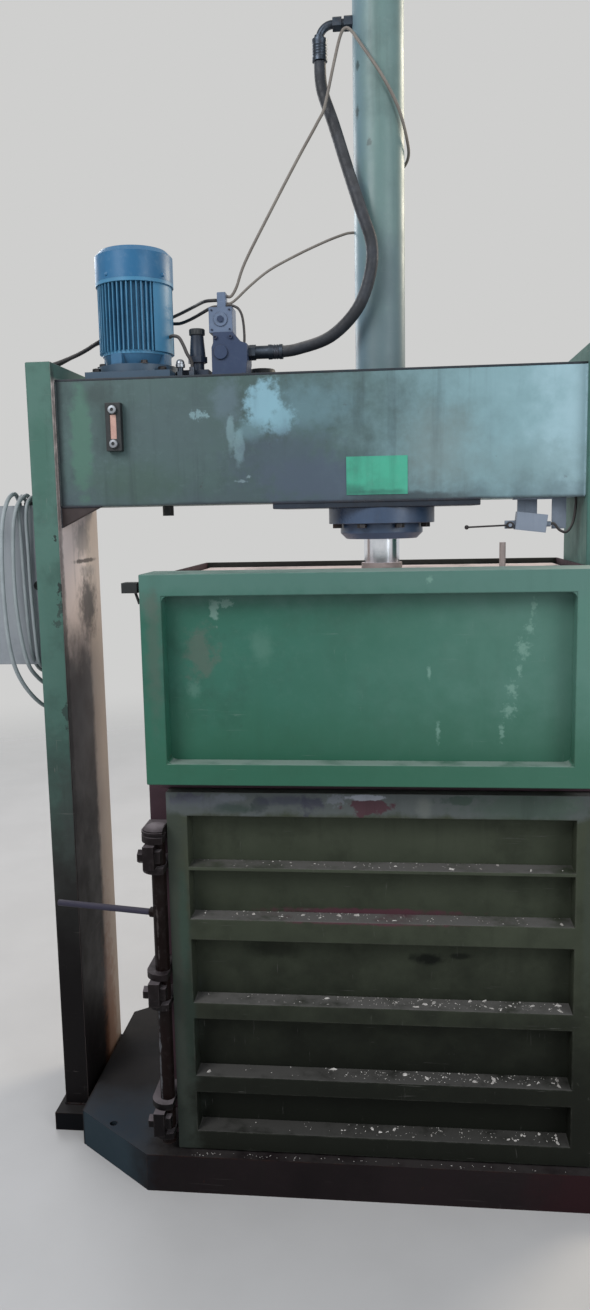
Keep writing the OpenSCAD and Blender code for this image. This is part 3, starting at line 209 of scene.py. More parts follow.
def paint(name, coat, faded, wearers="", under="#3A2C26", dirt="#1B1A19", dust="#8F8983", gloss=0.35, chips=0.3,
          edges=0.5, grime=0.5, dusty=0.4, streaks=0.3, scratches=0.25, specks=0.12, shine=0.3, dust_fade=None,
          marks=(), slopes=()):
    """Old paint on steel: faded, stained, chipped to the steel at its edges and dusty on its ledges."""
    s = Shader(name, wearers)
    large = s.noise(1.9, 6, 0.6, warp=0.4)
    medium = s.noise(9, 6, 0.65, shift=3)
    fine = s.noise(75, 4, 0.6)
    colour = s.mix(s.band(large, 0.36, 0.66), coat, faded)
    colour = s.mix(s.times(s.band(medium, 0.45, 0.7), 0.28), colour, dirt)
    colour = s.mix(s.times(s.band(fine, 0.5, 0.8), specks), colour, dust)
    rough = s.blend(s.band(medium, 0.3, 0.7), gloss, gloss + 0.16)
    for slope in (Slope(*row) for row in slopes):
        colour = s.mix(s.slope(slope), colour, slope.colour)
    for mark in marks:
        colour = s.mix(s.patch(mark), colour, mark.colour)
    drips = s.noise(1.0, 5, 0.6, stretch=(30, 30, 1.7), shift=1.3)
    colour = s.mix(s.times(s.band(drips, 0.52, 0.75), s.band(large, 0.4, 0.6), streaks), colour, dirt)
    lines = s.noise(1.0, 3, 0.5, stretch=(9, 9, 240), shift=5, warp=0.6)
    more_lines = s.noise(1.0, 3, 0.5, stretch=(260, 30, 14), shift=8, warp=0.8)
    scratch = s.math("MAXIMUM", s.band(lines, 0.69, 0.74), s.band(more_lines, 0.7, 0.75))
    colour = s.mix(s.times(scratch, s.band(medium, 0.45, 0.6), scratches), colour, dust)
    corner = s.times(s.cavity(0.06), s.band(medium, 0.2, 0.6), grime)
    colour = s.mix(corner, colour, dirt)
    flakes = s.noise(34, 5, 0.7, shift=2)
    chip = s.times(s.band(flakes, 0.68, 0.71), s.band(large, 0.35, 0.6), chips)
    rub = s.times(s.edge(0.005), s.band(flakes, 0.4, 0.62), edges)
    bare = s.math("MAXIMUM", chip, rub)
    colour = s.mix(bare, colour, under)
    lying = s.times(s.band(s.side["z"], 0.6, 0.95), s.band(medium, 0.25, 0.55), dusty)
    if dust_fade:
        lying = s.times(lying, s.blend(s.band(s.z, *dust_fade), 0.4, 1.0))
    colour = s.mix(lying, colour, dust)
    rough = s.blend(s.math("MAXIMUM", lying, bare), rough, 0.8)
    height = s.math("SUBTRACT", s.times(fine, 0.35), s.times(bare, 0.9))
    s.finish(colour, rough, height, Specular_IOR_Level=shine)


def bare_metal(name, light, dark, wearers="", gloss=0.4, rusty=0.5, grime=0.4, brushed=(1, 1, 1), lift=0.0002):
    """Steel or alloy with stains, a machined grain and some rust."""
    s = Shader(name, wearers)
    medium = s.noise(14, 6, 0.65)
    grain = s.noise(1.0 if brushed != (1, 1, 1) else 120, 4, 0.6, stretch=brushed)
    colour = s.mix(s.band(medium, 0.35, 0.7), light, dark)
    colour = s.mix(s.times(s.band(grain, 0.45, 0.7), 0.25), colour, dark)
    spots = s.times(s.band(s.noise(26, 6, 0.7, shift=4), 0.52, 0.66), rusty)
    colour = s.mix(spots, colour, "#4B3328")
    dull = s.times(s.cavity(0.03), grime)
    colour = s.mix(dull, colour, "#171615")
    rough = s.blend(spots, s.blend(medium, gloss, gloss + 0.15), 0.8)
    metal = s.blend(s.math("MAXIMUM", spots, dull), 1.0, 0.1)
    s.finish(colour, rough, grain, lift, Metallic=metal)


def soft_plastic(name, colour, worn, wearers="", gloss=0.5, dusty=0.35):
    """Rubber, cable sheath or moulded plastic, with dust on its upper side."""
    s = Shader(name, wearers)
    medium = s.noise(16, 5, 0.6)
    tone = s.mix(s.band(medium, 0.35, 0.7), colour, worn)
    lying = s.times(s.band(s.side["z"], 0.1, 0.9), s.band(medium, 0.3, 0.6), dusty)
    tone = s.mix(lying, tone, "#8A857F")
    tone = s.mix(s.times(s.cavity(0.02), 0.4), tone, "#0B0B0C")
    fine = s.noise(140, 3, 0.5)
    s.finish(tone, s.blend(s.band(fine, 0.3, 0.7), gloss, gloss + 0.15), fine, 0.0002)


# Materials. Marks and slopes are placed in metres, on the face that carries them.

CROSSHEAD_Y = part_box("crosshead_tank")[0].y
UPRIGHT_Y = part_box("left_upright")[0].y
UPRIGHT_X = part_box("left_upright")[1].x
GATE_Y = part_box("gate_skin")[0].y
GATE_RIM_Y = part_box("gate_frame")[0].y
DOOR_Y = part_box("door_skin")[0].y
DOOR_RIM_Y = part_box("door_frame")[0].y
DOOR_LEDGE_Y = -0.34
LOCK_X, LOCK_Y = -0.479, -0.377


def marks_on(axis, at, depth, rows, side=None):
    """Marks on the face at that place of x or y. Each row is across, height, half width, half height, colour
    and, where they differ from a Mark's own, strength, softness and raggedness."""
    def turned(a, b, c):
        return (b, a, c) if axis == "x" else (a, b, c)
    return [Mark(turned(across, at, height), turned(wide, depth, tall), *look, side=side)
            for across, height, wide, tall, *look in rows]


upright_marks = marks_on("y", UPRIGHT_Y, 0.02, [
    (-0.752, 1.463, 0.005, 0.006, "#2C3331", 0.9, 0.1, 1.1),
    (-0.746, 1.345, 0.008, 0.012, "#2C3331", 0.9, 0.1, 1.1),
    (-0.747, 1.295, 0.007, 0.016, "#38423E", 0.8, 0.1, 1.1),
    (-0.758, 1.262, 0.01, 0.008, "#38423E", 0.7, 0.1, 1.1),
    (-0.745, 1.05, 0.008, 0.03, "#2F3634", 0.7, 0.1, 1.1),
    (-0.775, 1.64, 0.025, 0.1, "#3E6255", 0.5, 0.5),
    (-0.755, 0.8, 0.02, 0.12, "#3B413E", 0.6, 0.5),
], FRONT) + marks_on("x", UPRIGHT_X, 0.02, [
    (0.02, 1.455, 0.055, 0.04, "#8D8682", 0.7, 0.5),
    (0.035, 1.402, 0.08, 0.005, "#4E4642", 0.9, 0.4),
    (0.045, 1.375, 0.05, 0.015, "#9A928D", 0.7, 0.5),
    (0.04, 1.29, 0.06, 0.07, "#454242", 0.9, 0.6),
    (-0.142, 1.0, 0.016, 0.9, "#2B2728", 0.7, 0.5),
    # Painted reflection of the brown floor, low on the inner side
    (0.065, 0.1, 0.045, 0.32, "#8A5D43", 0.65, 0.6),
], RIGHT)
# Painted shade: both uprights darken towards the floor, and their foot is painted black as shade
upright_shade_to_floor = [
    ("z", 1.15, 0.6, "#2D2A29", 0.95, 0.06),
    ("z", 0.78, 0.38, "#0C090A", 0.97),
]
foot_painted_shade = ("z", 0.05, 0.044, "#0A090C", 0.95, 0.0)
# The left one's inner side has painted light: a pale painted reflection above, painted shadow of the chamber below,
# and a painted highlight along its rear edge
upright_slopes = [
    *upright_shade_to_floor,
    ("z", -1, 0, "#E0D0C9", 1.0, 0.0, RIGHT),
    ("z", 1.31, 1.13, "#454141", 0.92, 0.04, RIGHT),
    ("z", 1.0, 0.55, "#191516", 0.95, 0.08, RIGHT),
    ("y", 0.026, 0.06, "#BBADA2", 0.88, 0.01, RIGHT),
    ("z", 1.81, 1.83, "#40625A", 1.0, 0.0, RIGHT),
    foot_painted_shade,
]
crosshead_slopes = [
    ("x", -0.2, 0.34, "#81A1A6", 0.92, 0.1),
    ("x", 0.28, 0.45, "#9BB8BF", 0.8, 0.06),
    ("z", 1.6, 1.53, "#465259", 0.55, 0.03, FRONT),
    # Painted shadow: a dark line along the lower edge of the front
    ("z", 1.541, 1.534, "#2B3338", 0.8, 0.002, FRONT),
    ("x", -0.722, -0.74, "#283033", 0.85, 0.006, FRONT),
]
crosshead_marks = marks_on("y", CROSSHEAD_Y, 0.05, [
    (-0.685, 1.68, 0.024, 0.125, "#4B6F60", 0.8, 0.35),
    (-0.56, 1.58, 0.1, 0.045, "#3E5349", 0.6, 0.7),
    (-0.64, 1.785, 0.03, 0.025, "#35403F", 0.6, 0.6),
    (-0.47, 1.7, 0.12, 0.08, "#4A5A5C", 0.6, 0.8),
    (-0.165, 1.745, 0.09, 0.05, "#66858D", 0.6, 0.8),
    (-0.262, 1.752, 0.038, 0.052, "#80A6B2", 0.9, 0.32, 0.4),
    (-0.228, 1.722, 0.034, 0.034, "#7DA3AE", 0.85, 0.35, 0.45),
    (-0.345, 1.76, 0.03, 0.045, "#5D6F78", 0.6, 0.6),
    (-0.337, 1.69, 0.008, 0.042, "#728C8F", 0.75, 0.4, 0.45),
    (-0.319, 1.66, 0.011, 0.038, "#7A9799", 0.8, 0.35, 0.45),
    (-0.405, 1.733, 0.017, 0.008, "#7C989C", 0.7, 0.4, 1.0),
    (-0.29, 1.695, 0.03, 0.02, "#6C8C92", 0.6, 0.6),
    (-0.313, 1.583, 0.012, 0.003, "#8BA0A4", 0.6, 0.5, 1.0),
    (-0.3, 1.592, 0.005, 0.003, "#8BA0A4", 0.6, 0.5, 1.0),
    (-0.13, 1.58, 0.125, 0.05, "#495463", 0.8, 0.55),
    (-0.22, 1.63, 0.11, 0.06, "#485460", 0.65, 0.7),
    (0.06, 1.541, 0.11, 0.01, "#343D42", 0.8, 0.5),
    (0.13, 1.64, 0.07, 0.08, "#747F7C", 0.5, 0.8),
    (0.33, 1.6, 0.14, 0.05, "#718889", 0.5, 0.8),
])
gate_slopes = [
    ("x", -0.25, 0.42, "#55796D", 0.8, 0.08),
    ("z", 1.2, 1.0, "#24553F", 0.7, 0.03),
    ("z", 1.3, 1.37, "#4F7168", 0.75, 0.02),
]
# A dotted scrape that runs down the right of the gate's panel
scrape = [(0.306 - 0.01 * k + 0.003 * (k % 2), 1.315 - 0.042 * k, 0.004 + 0.003 * (k % 3), 0.013 - 0.004 * (k % 2),
           "#7D9E90", 0.45, 0.8, 1.3) for k in range(7)]
gate_marks = marks_on("y", GATE_Y, 0.06, [
    (-0.366, 1.225, 0.03, 0.045, "#4E5C52", 0.75, 0.5, 0.7),
    (-0.335, 1.318, 0.009, 0.02, "#7C988D", 0.6, 0.4, 1.0),
    (-0.312, 1.33, 0.012, 0.008, "#7C988D", 0.5, 0.4, 1.0),
    (-0.24, 1.24, 0.02, 0.028, "#54796B", 0.5, 0.7),
    (-0.385, 1.15, 0.012, 0.015, "#5C8072", 0.4, 0.7),
]) + marks_on("y", GATE_RIM_Y, 0.02, [
    (-0.455, 1.23, 0.014, 0.12, "#49594F", 0.65, 0.7),
    (-0.462, 1.33, 0.018, 0.025, "#515F56", 0.6, 0.7),
]) + marks_on("y", GATE_Y, 0.06, [
    (0.05, 1.2, 0.3, 0.12, "#3A6656", 0.35, 0.8),
    (0.1, 1.185, 0.003, 0.012, "#7FA294", 0.45, 0.8, 0.8),
    (0.118, 1.06, 0.003, 0.016, "#7FA294", 0.45, 0.8, 0.8),
    *scrape,
]) + marks_on("y", GATE_RIM_Y, 0.02, [
    (0.1, 1.375, 0.005, 0.005, "#6F9284", 0.6, 0.6, 0.8),
])
door_slopes = [
    # Painted shade: the door darkens towards the floor
    ("z", 0.78, 0.22, "#121310", 0.92, 0.06),
    ("x", -0.4, -0.45, "#3A403A", 0.7, 0.02),
    ("z", 0.866, 0.884, "#5A5F60", 0.7, 0.012, FRONT),
]
door_marks = marks_on("y", DOOR_RIM_Y, 0.03, [
    (-0.41, 0.908, 0.03, 0.01, "#43424F", 0.7, 0.5, 0.8),
    (-0.33, 0.91, 0.035, 0.007, "#6A6E74", 0.6, 0.5, 0.9),
    (-0.26, 0.895, 0.018, 0.022, "#33393A", 0.6, 0.5, 0.9),
    (-0.15, 0.898, 0.022, 0.018, "#3B3A46", 0.7, 0.5, 0.9),
    (-0.095, 0.908, 0.018, 0.01, "#71757B", 0.6, 0.5, 0.9),
    (0.16, 0.908, 0.035, 0.009, "#34413A", 0.7, 0.5, 0.9),
    (0.24, 0.89, 0.025, 0.018, "#5A5D5C", 0.6, 0.5, 0.9),
    (0.38, 0.902, 0.03, 0.014, "#5F6A62", 0.6, 0.5, 0.9),
    (-0.02, 0.893, 0.05, 0.018, "#4A2E35", 0.85, 0.2, 0.6),
    (-0.03, 0.914, 0.045, 0.006, "#8A8E94", 0.9, 0.2, 0.5),
    (0.09, 0.893, 0.015, 0.02, "#666A65", 0.6, 0.6),
    (0.3, 0.895, 0.12, 0.03, "#3F4E44", 0.7, 0.6),
    (-0.37, 0.9, 0.06, 0.012, "#5C6066", 0.6, 0.6),
    (-0.31, 0.888, 0.04, 0.01, "#33403A", 0.7, 0.6),
    (-0.2, 0.905, 0.06, 0.01, "#3C3E49", 0.7, 0.6),
    (-0.43, 0.62, 0.01, 0.12, "#35473E", 0.6, 0.6),
    (-0.425, 0.4, 0.012, 0.12, "#28332C", 0.7, 0.6),
    (0.43, 0.7, 0.01, 0.18, "#3B4139", 0.6, 0.6),
]) + marks_on("y", DOOR_LEDGE_Y, 0.06, [
    (-0.02, 0.64, 0.2, 0.008, "#52303A", 0.8, 0.4),
]) + marks_on("y", DOOR_Y, 0.02, [
    (0.1, 0.535, 0.033, 0.012, "#0F120F", 0.9, 0.5),
    (0.17, 0.543, 0.02, 0.007, "#141713", 0.8, 0.5),
    (-0.24, 0.55, 0.05, 0.02, "#161813", 0.6, 0.6),
])
base_slopes = [
    ("x", -0.5, -0.56, "#363F47", 0.9, 0.02, UPWARD),
    # Painted shadow: the wing's top goes dark towards its back
    ("y", -0.22, -0.1, "#1A1512", 0.85, 0.03, UPWARD),
    ("x", -0.5, -0.6, "#2A373E", 0.8, 0.02, FRONT),
    # Painted shade: the foot blocks at the far left are black
    ("x", -0.72, -0.73, "#09080A", 0.95, 0.0),
    ("x", 0.27, 0.42, "#2A171A", 0.75, 0.04, FRONT),
]

paint("frame", "#48675D", "#506F65", "left_upright", edges=0.45, chips=0.25, grime=0.4, specks=0.04, shine=0.12,
    gloss=0.42, marks=upright_marks, slopes=upright_slopes)
paint("right_frame", "#43665D", "#4B6E65", "right_upright", edges=0.45, chips=0.35, grime=0.4, specks=0.04,
    shine=0.12, gloss=0.42, slopes=[*upright_shade_to_floor, foot_painted_shade])
paint("tank", "#405450", "#495D5B", "crosshead_tank", dirt="#262D32", dust="#7B9294", edges=0.3, scratches=0.2,
    gloss=0.42, marks=crosshead_marks, slopes=crosshead_slopes)
paint("lid", "#1D272E", "#262F36", "tank_lid", dust="#5F6468", dusty=0.5)
paint("plate", "#2B333E", "#222931", "ram_plate", dust="#5F6468", gloss=0.3, chips=0.15)
# The gussets are dark paint, darkened further by painted shade under the crosshead
paint("gusset", "#2F2625", "#3A3130", "corner_gussets", gloss=0.5, specks=0.05)
paint("base", "#171314", "#201A1B", "base_frame", under="#3A2218", dust="#454240", gloss=0.55, chips=0.6, specks=0.03,
    shine=0.05, slopes=base_slopes)
paint("chamber", "#3C3E3A", "#4A4B46", "chamber_floor chamber_back_wall", under="#5B5650", dust="#746E69", chips=0.7,
    edges=0.7, scratches=0.8, gloss=0.4)
paint("primer", "#3D2B31", "#453239", "chamber_side_walls front_posts", under="#221A1C", dust="#6B6262", gloss=0.55,
    chips=0.45, specks=0.06, shine=0.2)
paint("cylinder", "#617A77", "#6A827D", "cylinder_tube cylinder_cap", dirt="#43514F", dust="#94A098", edges=0.2,
    chips=0.1, streaks=0.35, gloss=0.33, scratches=0.15, slopes=[
        ("z", 2.3, 1.9, "#5A6A70", 0.7, 0.1),
        ("x", -0.01, -0.055, "#6C8592", 0.6, 0.01),
    ], marks=[
        Mark((-0.045, -0.036, 2.487), (0.004, 0.02, 0.01), "#2F3B3A", 0.75, 0.4, 0.5),
        Mark((-0.047, -0.033, 2.39), (0.004, 0.02, 0.012), "#2F3B3A", 0.75, 0.4, 0.5),
        Mark((-0.02, -0.054, 2.32), (0.005, 0.02, 0.009), "#35413F", 0.65, 0.4, 0.5),
    ])
paint("gland", "#3C4F68", "#364860", "cylinder_flange gland_ring", dust="#5A636D", gloss=0.25, chips=0.2, dusty=0.2,
    shine=0.5)
paint("motor", "#3F7899", "#47809F", "motor_body terminal_box", dirt="#1B3248", dust="#7C93A3", gloss=0.38,
    chips=0.15, grime=0.25, edges=0.2)
paint("bell", "#345F7E", "#3C6989", "motor_bell", dirt="#1B2A38", dust="#6F7F8C", chips=0.4, grime=0.6, edges=0.4,
    slopes=[("z", 1.862, 1.856, "#3A4854", 0.85, 0.0)])
paint("cover", "#255D82", "#2D658A", "fan_cover", dirt="#1B4463", dust="#8FA3AF", gloss=0.32, chips=0.1, edges=0.2)
paint("valve", "#2C3A54", "#36455F", "valve_block", dirt="#141A24", dust="#5D6A7D", chips=0.2, grime=0.7)
paint("coil", "#617086", "#6F7D93", "valve_coil coil_plug", dirt="#2A3240", dust="#98A2AE", gloss=0.4, chips=0.2)
paint("relief", "#222C3A", "#2E3949", "relief_valve", dust="#636B74", gloss=0.4, chips=0.2)
paint("dark", "#1C1B1C", "#2A2728", "hinge_brackets switch_whisker", under="#4C4643", dust="#6A6361", gloss=0.45,
    chips=0.5, edges=0.6, specks=0.06)
paint("bearing", "#161112", "#1F1A1A", "lock_bearings lock_claws", under="#4A4443", dust="#877E80", gloss=0.32,
    edges=0.35, dusty=0.5, specks=0.05, shine=0.1, slopes=[
        # Painted shade: the bearings go black towards the floor
        ("z", 0.55, 0.3, "#080607", 0.85, 0.03),
        ("z", 0.848, 0.856, "#7A7273", 0.7, 0.004),
    ])
paint("cabinet", "#83888D", "#8E9396", "cabinet_body cabinet_door", dirt="#464A4D", dust="#96948F", gloss=0.4,
    chips=0.1, edges=0.2)
paint("platen", "#857B77", "#A0958F", "platen platen_cover", under="#5A524D", dust="#DCCBC7", chips=0.6, dusty=1.0,
    gloss=0.5)
# The gate's pale top is dust, with a painted sheen of grazing light on it
paint("gate", "#285949", "#326556", "gate_frame gate_skin", dirt="#1E3128", dust="#7F9087", dusty=0.85, gloss=0.36,
    chips=0.1, edges=0.3, grime=0.15, streaks=0.1, scratches=0.2, specks=0.06, marks=gate_marks, slopes=gate_slopes)
paint("door", "#3A3F33", "#44493C", "door_frame door_skin", under="#4A4A44", dirt="#141511", dust="#615F5C",
    dusty=1.0, gloss=0.5, edges=0.6, grime=0.6, streaks=0.35, scratches=0.5, specks=0.03, shine=0.08,
    dust_fade=(0.1, 0.6), marks=door_marks, slopes=door_slopes)
paint("shaft", "#120B0A", "#1A1110", "lock_shaft", under="#4A3D37", dust="#7C7678", gloss=0.25, edges=0.4,
    specks=0.04, dusty=0.2, shine=0.06, slopes=[("x", -0.503, -0.507, "#3A3946", 0.8, 0.0)], marks=[
        # Painted highlights: two broken light lines down the shaft's left front
        Mark((LOCK_X - 0.01, LOCK_Y - 0.018, 0.33), (0.002, 0.02, 0.11), "#5F6063", 0.55, 0.5, 1.4),
        Mark((LOCK_X - 0.004, LOCK_Y - 0.019, 0.6), (0.002, 0.02, 0.06), "#4A4543", 0.5, 0.5, 1.4),
    ])
bare_metal("bolt", "#4F4E50", "#2E2C2C", "flange_bolts")
bare_metal("zinc", "#9BA0A6", "#6F757C", rusty=0.15, gloss=0.32)
paint("switch", "#717B88", "#7F8995", "limit_switch", dirt="#39424C", dust="#9AA1A8", chips=0.2, edges=0.3)
bare_metal("steel", "#77716C", "#54504D", "hinge_pins piston motor_shaft")
bare_metal("alloy", "#8E9194", "#6E7175", "gear_pump", rusty=0.05, gloss=0.45)
bare_metal("fitting", "#4C545E", "#30373F", "hose_fittings", rusty=0.2, gloss=0.35)
bare_metal("chrome", "#F0F3F9", "#DDE2EB", "ram_rod", rusty=0.0, grime=0.0, gloss=0.08, brushed=(6, 6, 260),
    lift=0.00002)
soft_plastic("black", "#14181A", "#202426", "level_gauge tank_plugs gate_switch motor_fan main_switch")
soft_plastic("hose", "#1C1F24", "#2A2F37", "hydraulic_hose", gloss=0.55, dusty=0.5)
soft_plastic("lead", "#242223", "#35312F", "motor_lead valve_lead switch_lead")
soft_plastic("cable", "#868E8F", "#949C9D", "cabinet_cable_a cabinet_cable_b")
soft_plastic("line", "#6A635C", "#7A746B", "cylinder_lead")
soft_plastic("crumb", "#C6C1BA", "#87827C", gloss=0.8, dusty=0.0)
soft_plastic("red", "#A81D16", "#8E1812", "emergency_button", gloss=0.3, dusty=0.15)
soft_plastic("green", "#1C7A3C", "#16652F", "start_button", gloss=0.3, dusty=0.15)
paint("sign", "#439E82", "#4BA68A", "blank_plate", under="#2E5A4A", dirt="#2C4A44", dust="#78A796", gloss=0.3,
    chips=0.05, edges=0.1, marks=marks_on("y", -0.129, 0.02, [
        (-0.06, 1.558, 0.03, 0.012, "#2F4A47", 0.5, 0.7),
        (0.01, 1.552, 0.06, 0.006, "#2F4A47", 0.5, 0.7),
    ]))
soft_plastic("window", "#C09A8C", "#A98579", "gauge_glass", gloss=0.15, dusty=0.2)


# Rounded corners on the frame's own solids

CORNER = radians(32)   # an edge that turns more than this is a corner


def joining_group():
    """Joins the corners that the file keeps apart, and shades smooth up to a set angle."""
    group = bpy.data.node_groups.new("joined_faces", "GeometryNodeTree")
    group.interface.new_socket("Geometry", in_out="INPUT", socket_type="NodeSocketGeometry")
    group.interface.new_socket("Geometry", in_out="OUTPUT", socket_type="NodeSocketGeometry")
    add = group.nodes.new
    start, end = add("NodeGroupInput"), add("NodeGroupOutput")
    forget = add("GeometryNodeRemoveAttribute")
    forget.inputs["Name"].default_value = "custom_normal"
    merge = add("GeometryNodeMergeByDistance")
    merge.inputs["Distance"].default_value = 0.00001
    smooth = add("GeometryNodeSetShadeSmooth")
    sharp = add("GeometryNodeSetShadeSmooth")
    sharp.domain = "EDGE"
    sharp.inputs["Shade Smooth"].default_value = False
    angle = add("GeometryNodeInputMeshEdgeAngle")
    compare = add("FunctionNodeCompare")
    compare.operation = "GREATER_THAN"
    compare.inputs[1].default_value = CORNER
    chain = [start, forget, merge, smooth, sharp, end]
    for first, second in zip(chain, chain[1:]):
        group.links.new(first.outputs[0], second.inputs[0])
    group.links.new(angle.outputs["Unsigned Angle"], compare.inputs[0])
    group.links.new(compare.outputs[0], sharp.inputs["Selection"])
    return group


joined = joining_group()
# Radius of the corners and the nodes that have it
ROUNDED = {
    0.003: "left_upright right_upright gate_frame door_frame base_frame level_gauge",
    0.002: "crosshead_tank ram_plate corner_gussets front_posts hinge_brackets valve_coil coil_plug limit_switch "
           "gate_switch platen terminal_box relief_valve cabinet_door cabinet_body",
    0.0012: "tank_lid chamber_side_walls chamber_back_wall chamber_floor flange_bolts motor_bell valve_block "
            "gear_pump cylinder_flange gland_ring hose_fittings tank_plugs lock_bearings lock_claws",
    0.0008: "motor_body fan_cover start_button emergency_button main_switch door_skin gate_skin lock_shaft",
}
for width, names in ROUNDED.items():
    for name in names.split():
        solid = nodes[name]
        solid.modifiers.new("join", "NODES").node_group = joined
        flat = solid.modifiers.new("flat", "DECIMATE")
        flat.decimate_type = "DISSOLVE"
        flat.angle_limit = radians(0.5)
        bevel = solid.modifiers.new("round", "BEVEL")
        bevel.width = width
        bevel.segments = 2
        bevel.limit_method = "ANGLE"
        bevel.angle_limit = CORNER
        bevel.harden_normals = True


# Meshes

def aim(place, direction=(0, 0, 1)):
    """A matrix that stands a shape's +Z on place, along direction."""
    turn = Vector(direction).to_track_quat("Z", "Y").to_matrix().to_4x4()
    return Matrix.Translation(place) @ turn


def lathe(mesh, profile, where, steps=24, start=0.0, flute=0.0):
    """Adds a turned shape: profile is (radius, height) from the foot up, closed where the radius is 0."""
    rings = []
    for radius, height in profile:
        if radius < 1e-6:
            rings.append([mesh.verts.new(where @ Vector((0, 0, height)))])
            continue
        ring = []
        for k in range(steps):
            angle = start + tau * k / steps
            r = radius * (1 + flute * (k % 2))
            ring.append(mesh.verts.new(where @ Vector((r * cos(angle), r * sin(angle), height))))
        rings.append(ring)
    for low, high in zip(rings, rings[1:]):
        for k in range(steps):
            j = (k + 1) % steps
            corners = (low[k % len(low)], low[j % len(low)], high[j % len(high)], high[k % len(high)])
            corners = list(dict.fromkeys(corners))
            if len(corners) > 2:
                mesh.faces.new(corners)


def close(mesh, low, top):
    """Makes a solid of two rings of corners."""
    mesh.faces.new(top)
    mesh.faces.new(low[::-1])
    for k in range(len(low)):
        j = (k + 1) % len(low)
        mesh.faces.new((low[k], low[j], top[j], top[k]))


def hex_bolt(mesh, place, direction, across, head, washer=True):
    """Adds a hexagon head with a chamfer, on a washer."""
    where = aim(place, direction)
    foot = 0.0
    if washer:
        foot = across * 0.12
        lathe(mesh, [(0, 0), (across * 0.95, 0), (across * 0.95, foot * 0.7), (across * 0.88, foot), (0, foot)],
              where, 20)
    r = across / sqrt(3)
    lathe(mesh, [(0, foot), (r, foot), (r, foot + head * 0.82), (r * 0.88, foot + head), (0, foot + head)],
          where, 6, 0.3)


def socket_screw(mesh, place, direction, radius):
    """Adds a round cap screw with its socket."""
    h = radius * 1.1
    lathe(mesh, [(0, 0), (radius, 0), (radius, h * 0.88), (radius * 0.9, h), (radius * 0.5, h),
                 (radius * 0.5, h * 0.45), (0, h * 0.4)], aim(place, direction), 18)


def weld(mesh, start, end, radius, seed):
    """Adds a weld bead with its ripples, along a straight seam."""
    start, end = Vector(start), Vector(end)
    length = (end - start).length
    where = aim(start, end - start)
    dice = random.Random(seed)
    count = max(3, int(length / 0.006) * 2)   # two steps to a ripple of 6 mm
    profile = [(0, 0)]
    for i in range(count + 1):
        swell = radius * (0.82 + 0.18 * (i % 2)) * (1 + dice.uniform(-0.12, 0.12))
        profile.append((swell, length * i / count))
    profile[1] = (radius * 0.5, 0.0)
    profile[-1] = (radius * 0.5, length)
    profile.append((0, length))
    lathe(mesh, profile, where, 7)


def gland(mesh, place, direction, inner, r=0.0062):
    """Adds a cable gland: a hexagon foot, a fluted nut and a sealing lip round the cable."""
    where = aim(place, direction)
    lathe(mesh, [(0, 0), (r * 1.05, 0), (r * 1.05, 0.003), (r * 0.9, 0.0034), (0, 0.0034)], where, 6)
    lathe(mesh, [(r * 0.9, 0.0034), (r, 0.0042), (r, 0.0085), (r * 0.86, 0.0105), (inner * 1.02, 0.0118),
                 (inner * 0.7, 0.0118)], where, 24, flute=-0.05)


def place_piece(name, mesh, material, body="press_frame", angle=35):
    """Makes a piece from a bmesh, with its finish, on its body."""
    bmesh.ops.recalc_face_normals(mesh, faces=mesh.faces)
    for face in mesh.faces:
        face.smooth = True
    for edge in mesh.edges:
        edge.smooth = edge.is_manifold and edge.calc_face_angle(0) < radians(angle)
    data = bpy.data.meshes.new(name)
    mesh.to_mesh(data)
    mesh.free()
    piece = new_object(name, data)
    data.materials.append(materials[material])
    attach(piece, body)
    return piece


# Cords

def smooth_line(route, steps):
    """A smooth line through the points of a route, as in the frame's source."""
    points = [Vector(p) for p in route]
    line = []
    for i in range(len(points) - 1):
        a, b = points[max(i - 1, 0)], points[i]
        c, d = points[i + 1], points[min(i + 2, len(points) - 1)]
        for k in range(steps):
            t = k / steps
            line.append(0.5 * (2 * b + (c - a) * t + (2 * a - 5 * b + 4 * c - d) * t * t
                               + (3 * b - a - 3 * c + d) * t * t * t))
    line.append(points[-1])
    return line


def cord(name, route, diameter, material, node=None):
    """A cord along its route, from one fitting of the object to another."""
    line = smooth_line(route, 6)
    data = bpy.data.curves.new(name, "CURVE")
    data.dimensions = "3D"
    data.bevel_depth = diameter / 2
    data.bevel_resolution = 4
    data.use_fill_caps = True
    spline = data.splines.new("POLY")
    spline.points.add(len(line) - 1)
    for point, place in zip(spline.points, line):
        point.co = (*place, 1)
    spline.use_smooth = True
    piece = new_object(name, data)
    data.materials.append(materials[material])
    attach(piece, "press_frame")
    if node:
        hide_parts(node)


# Routes, from one fitting of the object to another
HOSE = [
    (-0.262, 0, 1.886), (-0.248, 0, 1.886), (-0.234, 0, 1.886), (-0.19, -0.018, 1.888), (-0.112, -0.056, 1.906),
    (-0.05, -0.084, 1.958), (-0.02, -0.09, 2.03), (-0.016, -0.09, 2.096), (-0.038, -0.084, 2.166),
    (-0.066, -0.06, 2.256), (-0.1, -0.028, 2.37), (-0.126, -0.01, 2.45), (-0.131, 0, 2.51), (-0.131, 0, 2.535),
    (-0.131, 0, 2.56),
]
MOTOR_LEAD = [
    (-0.628, 0.106, 1.966), (-0.644, 0.106, 1.966), (-0.69, 0.08, 1.94), (-0.73, 0.04, 1.906), (-0.776, 0, 1.878),
    (-0.804, -0.012, 1.87), (-0.815, -0.014, 1.86), (-0.816, -0.014, 1.844), (-0.817, -0.016, 1.78),
    (-0.818, -0.016, 1.68), (-0.822, -0.016, 1.56), (-0.822, -0.016, 1.538),
]
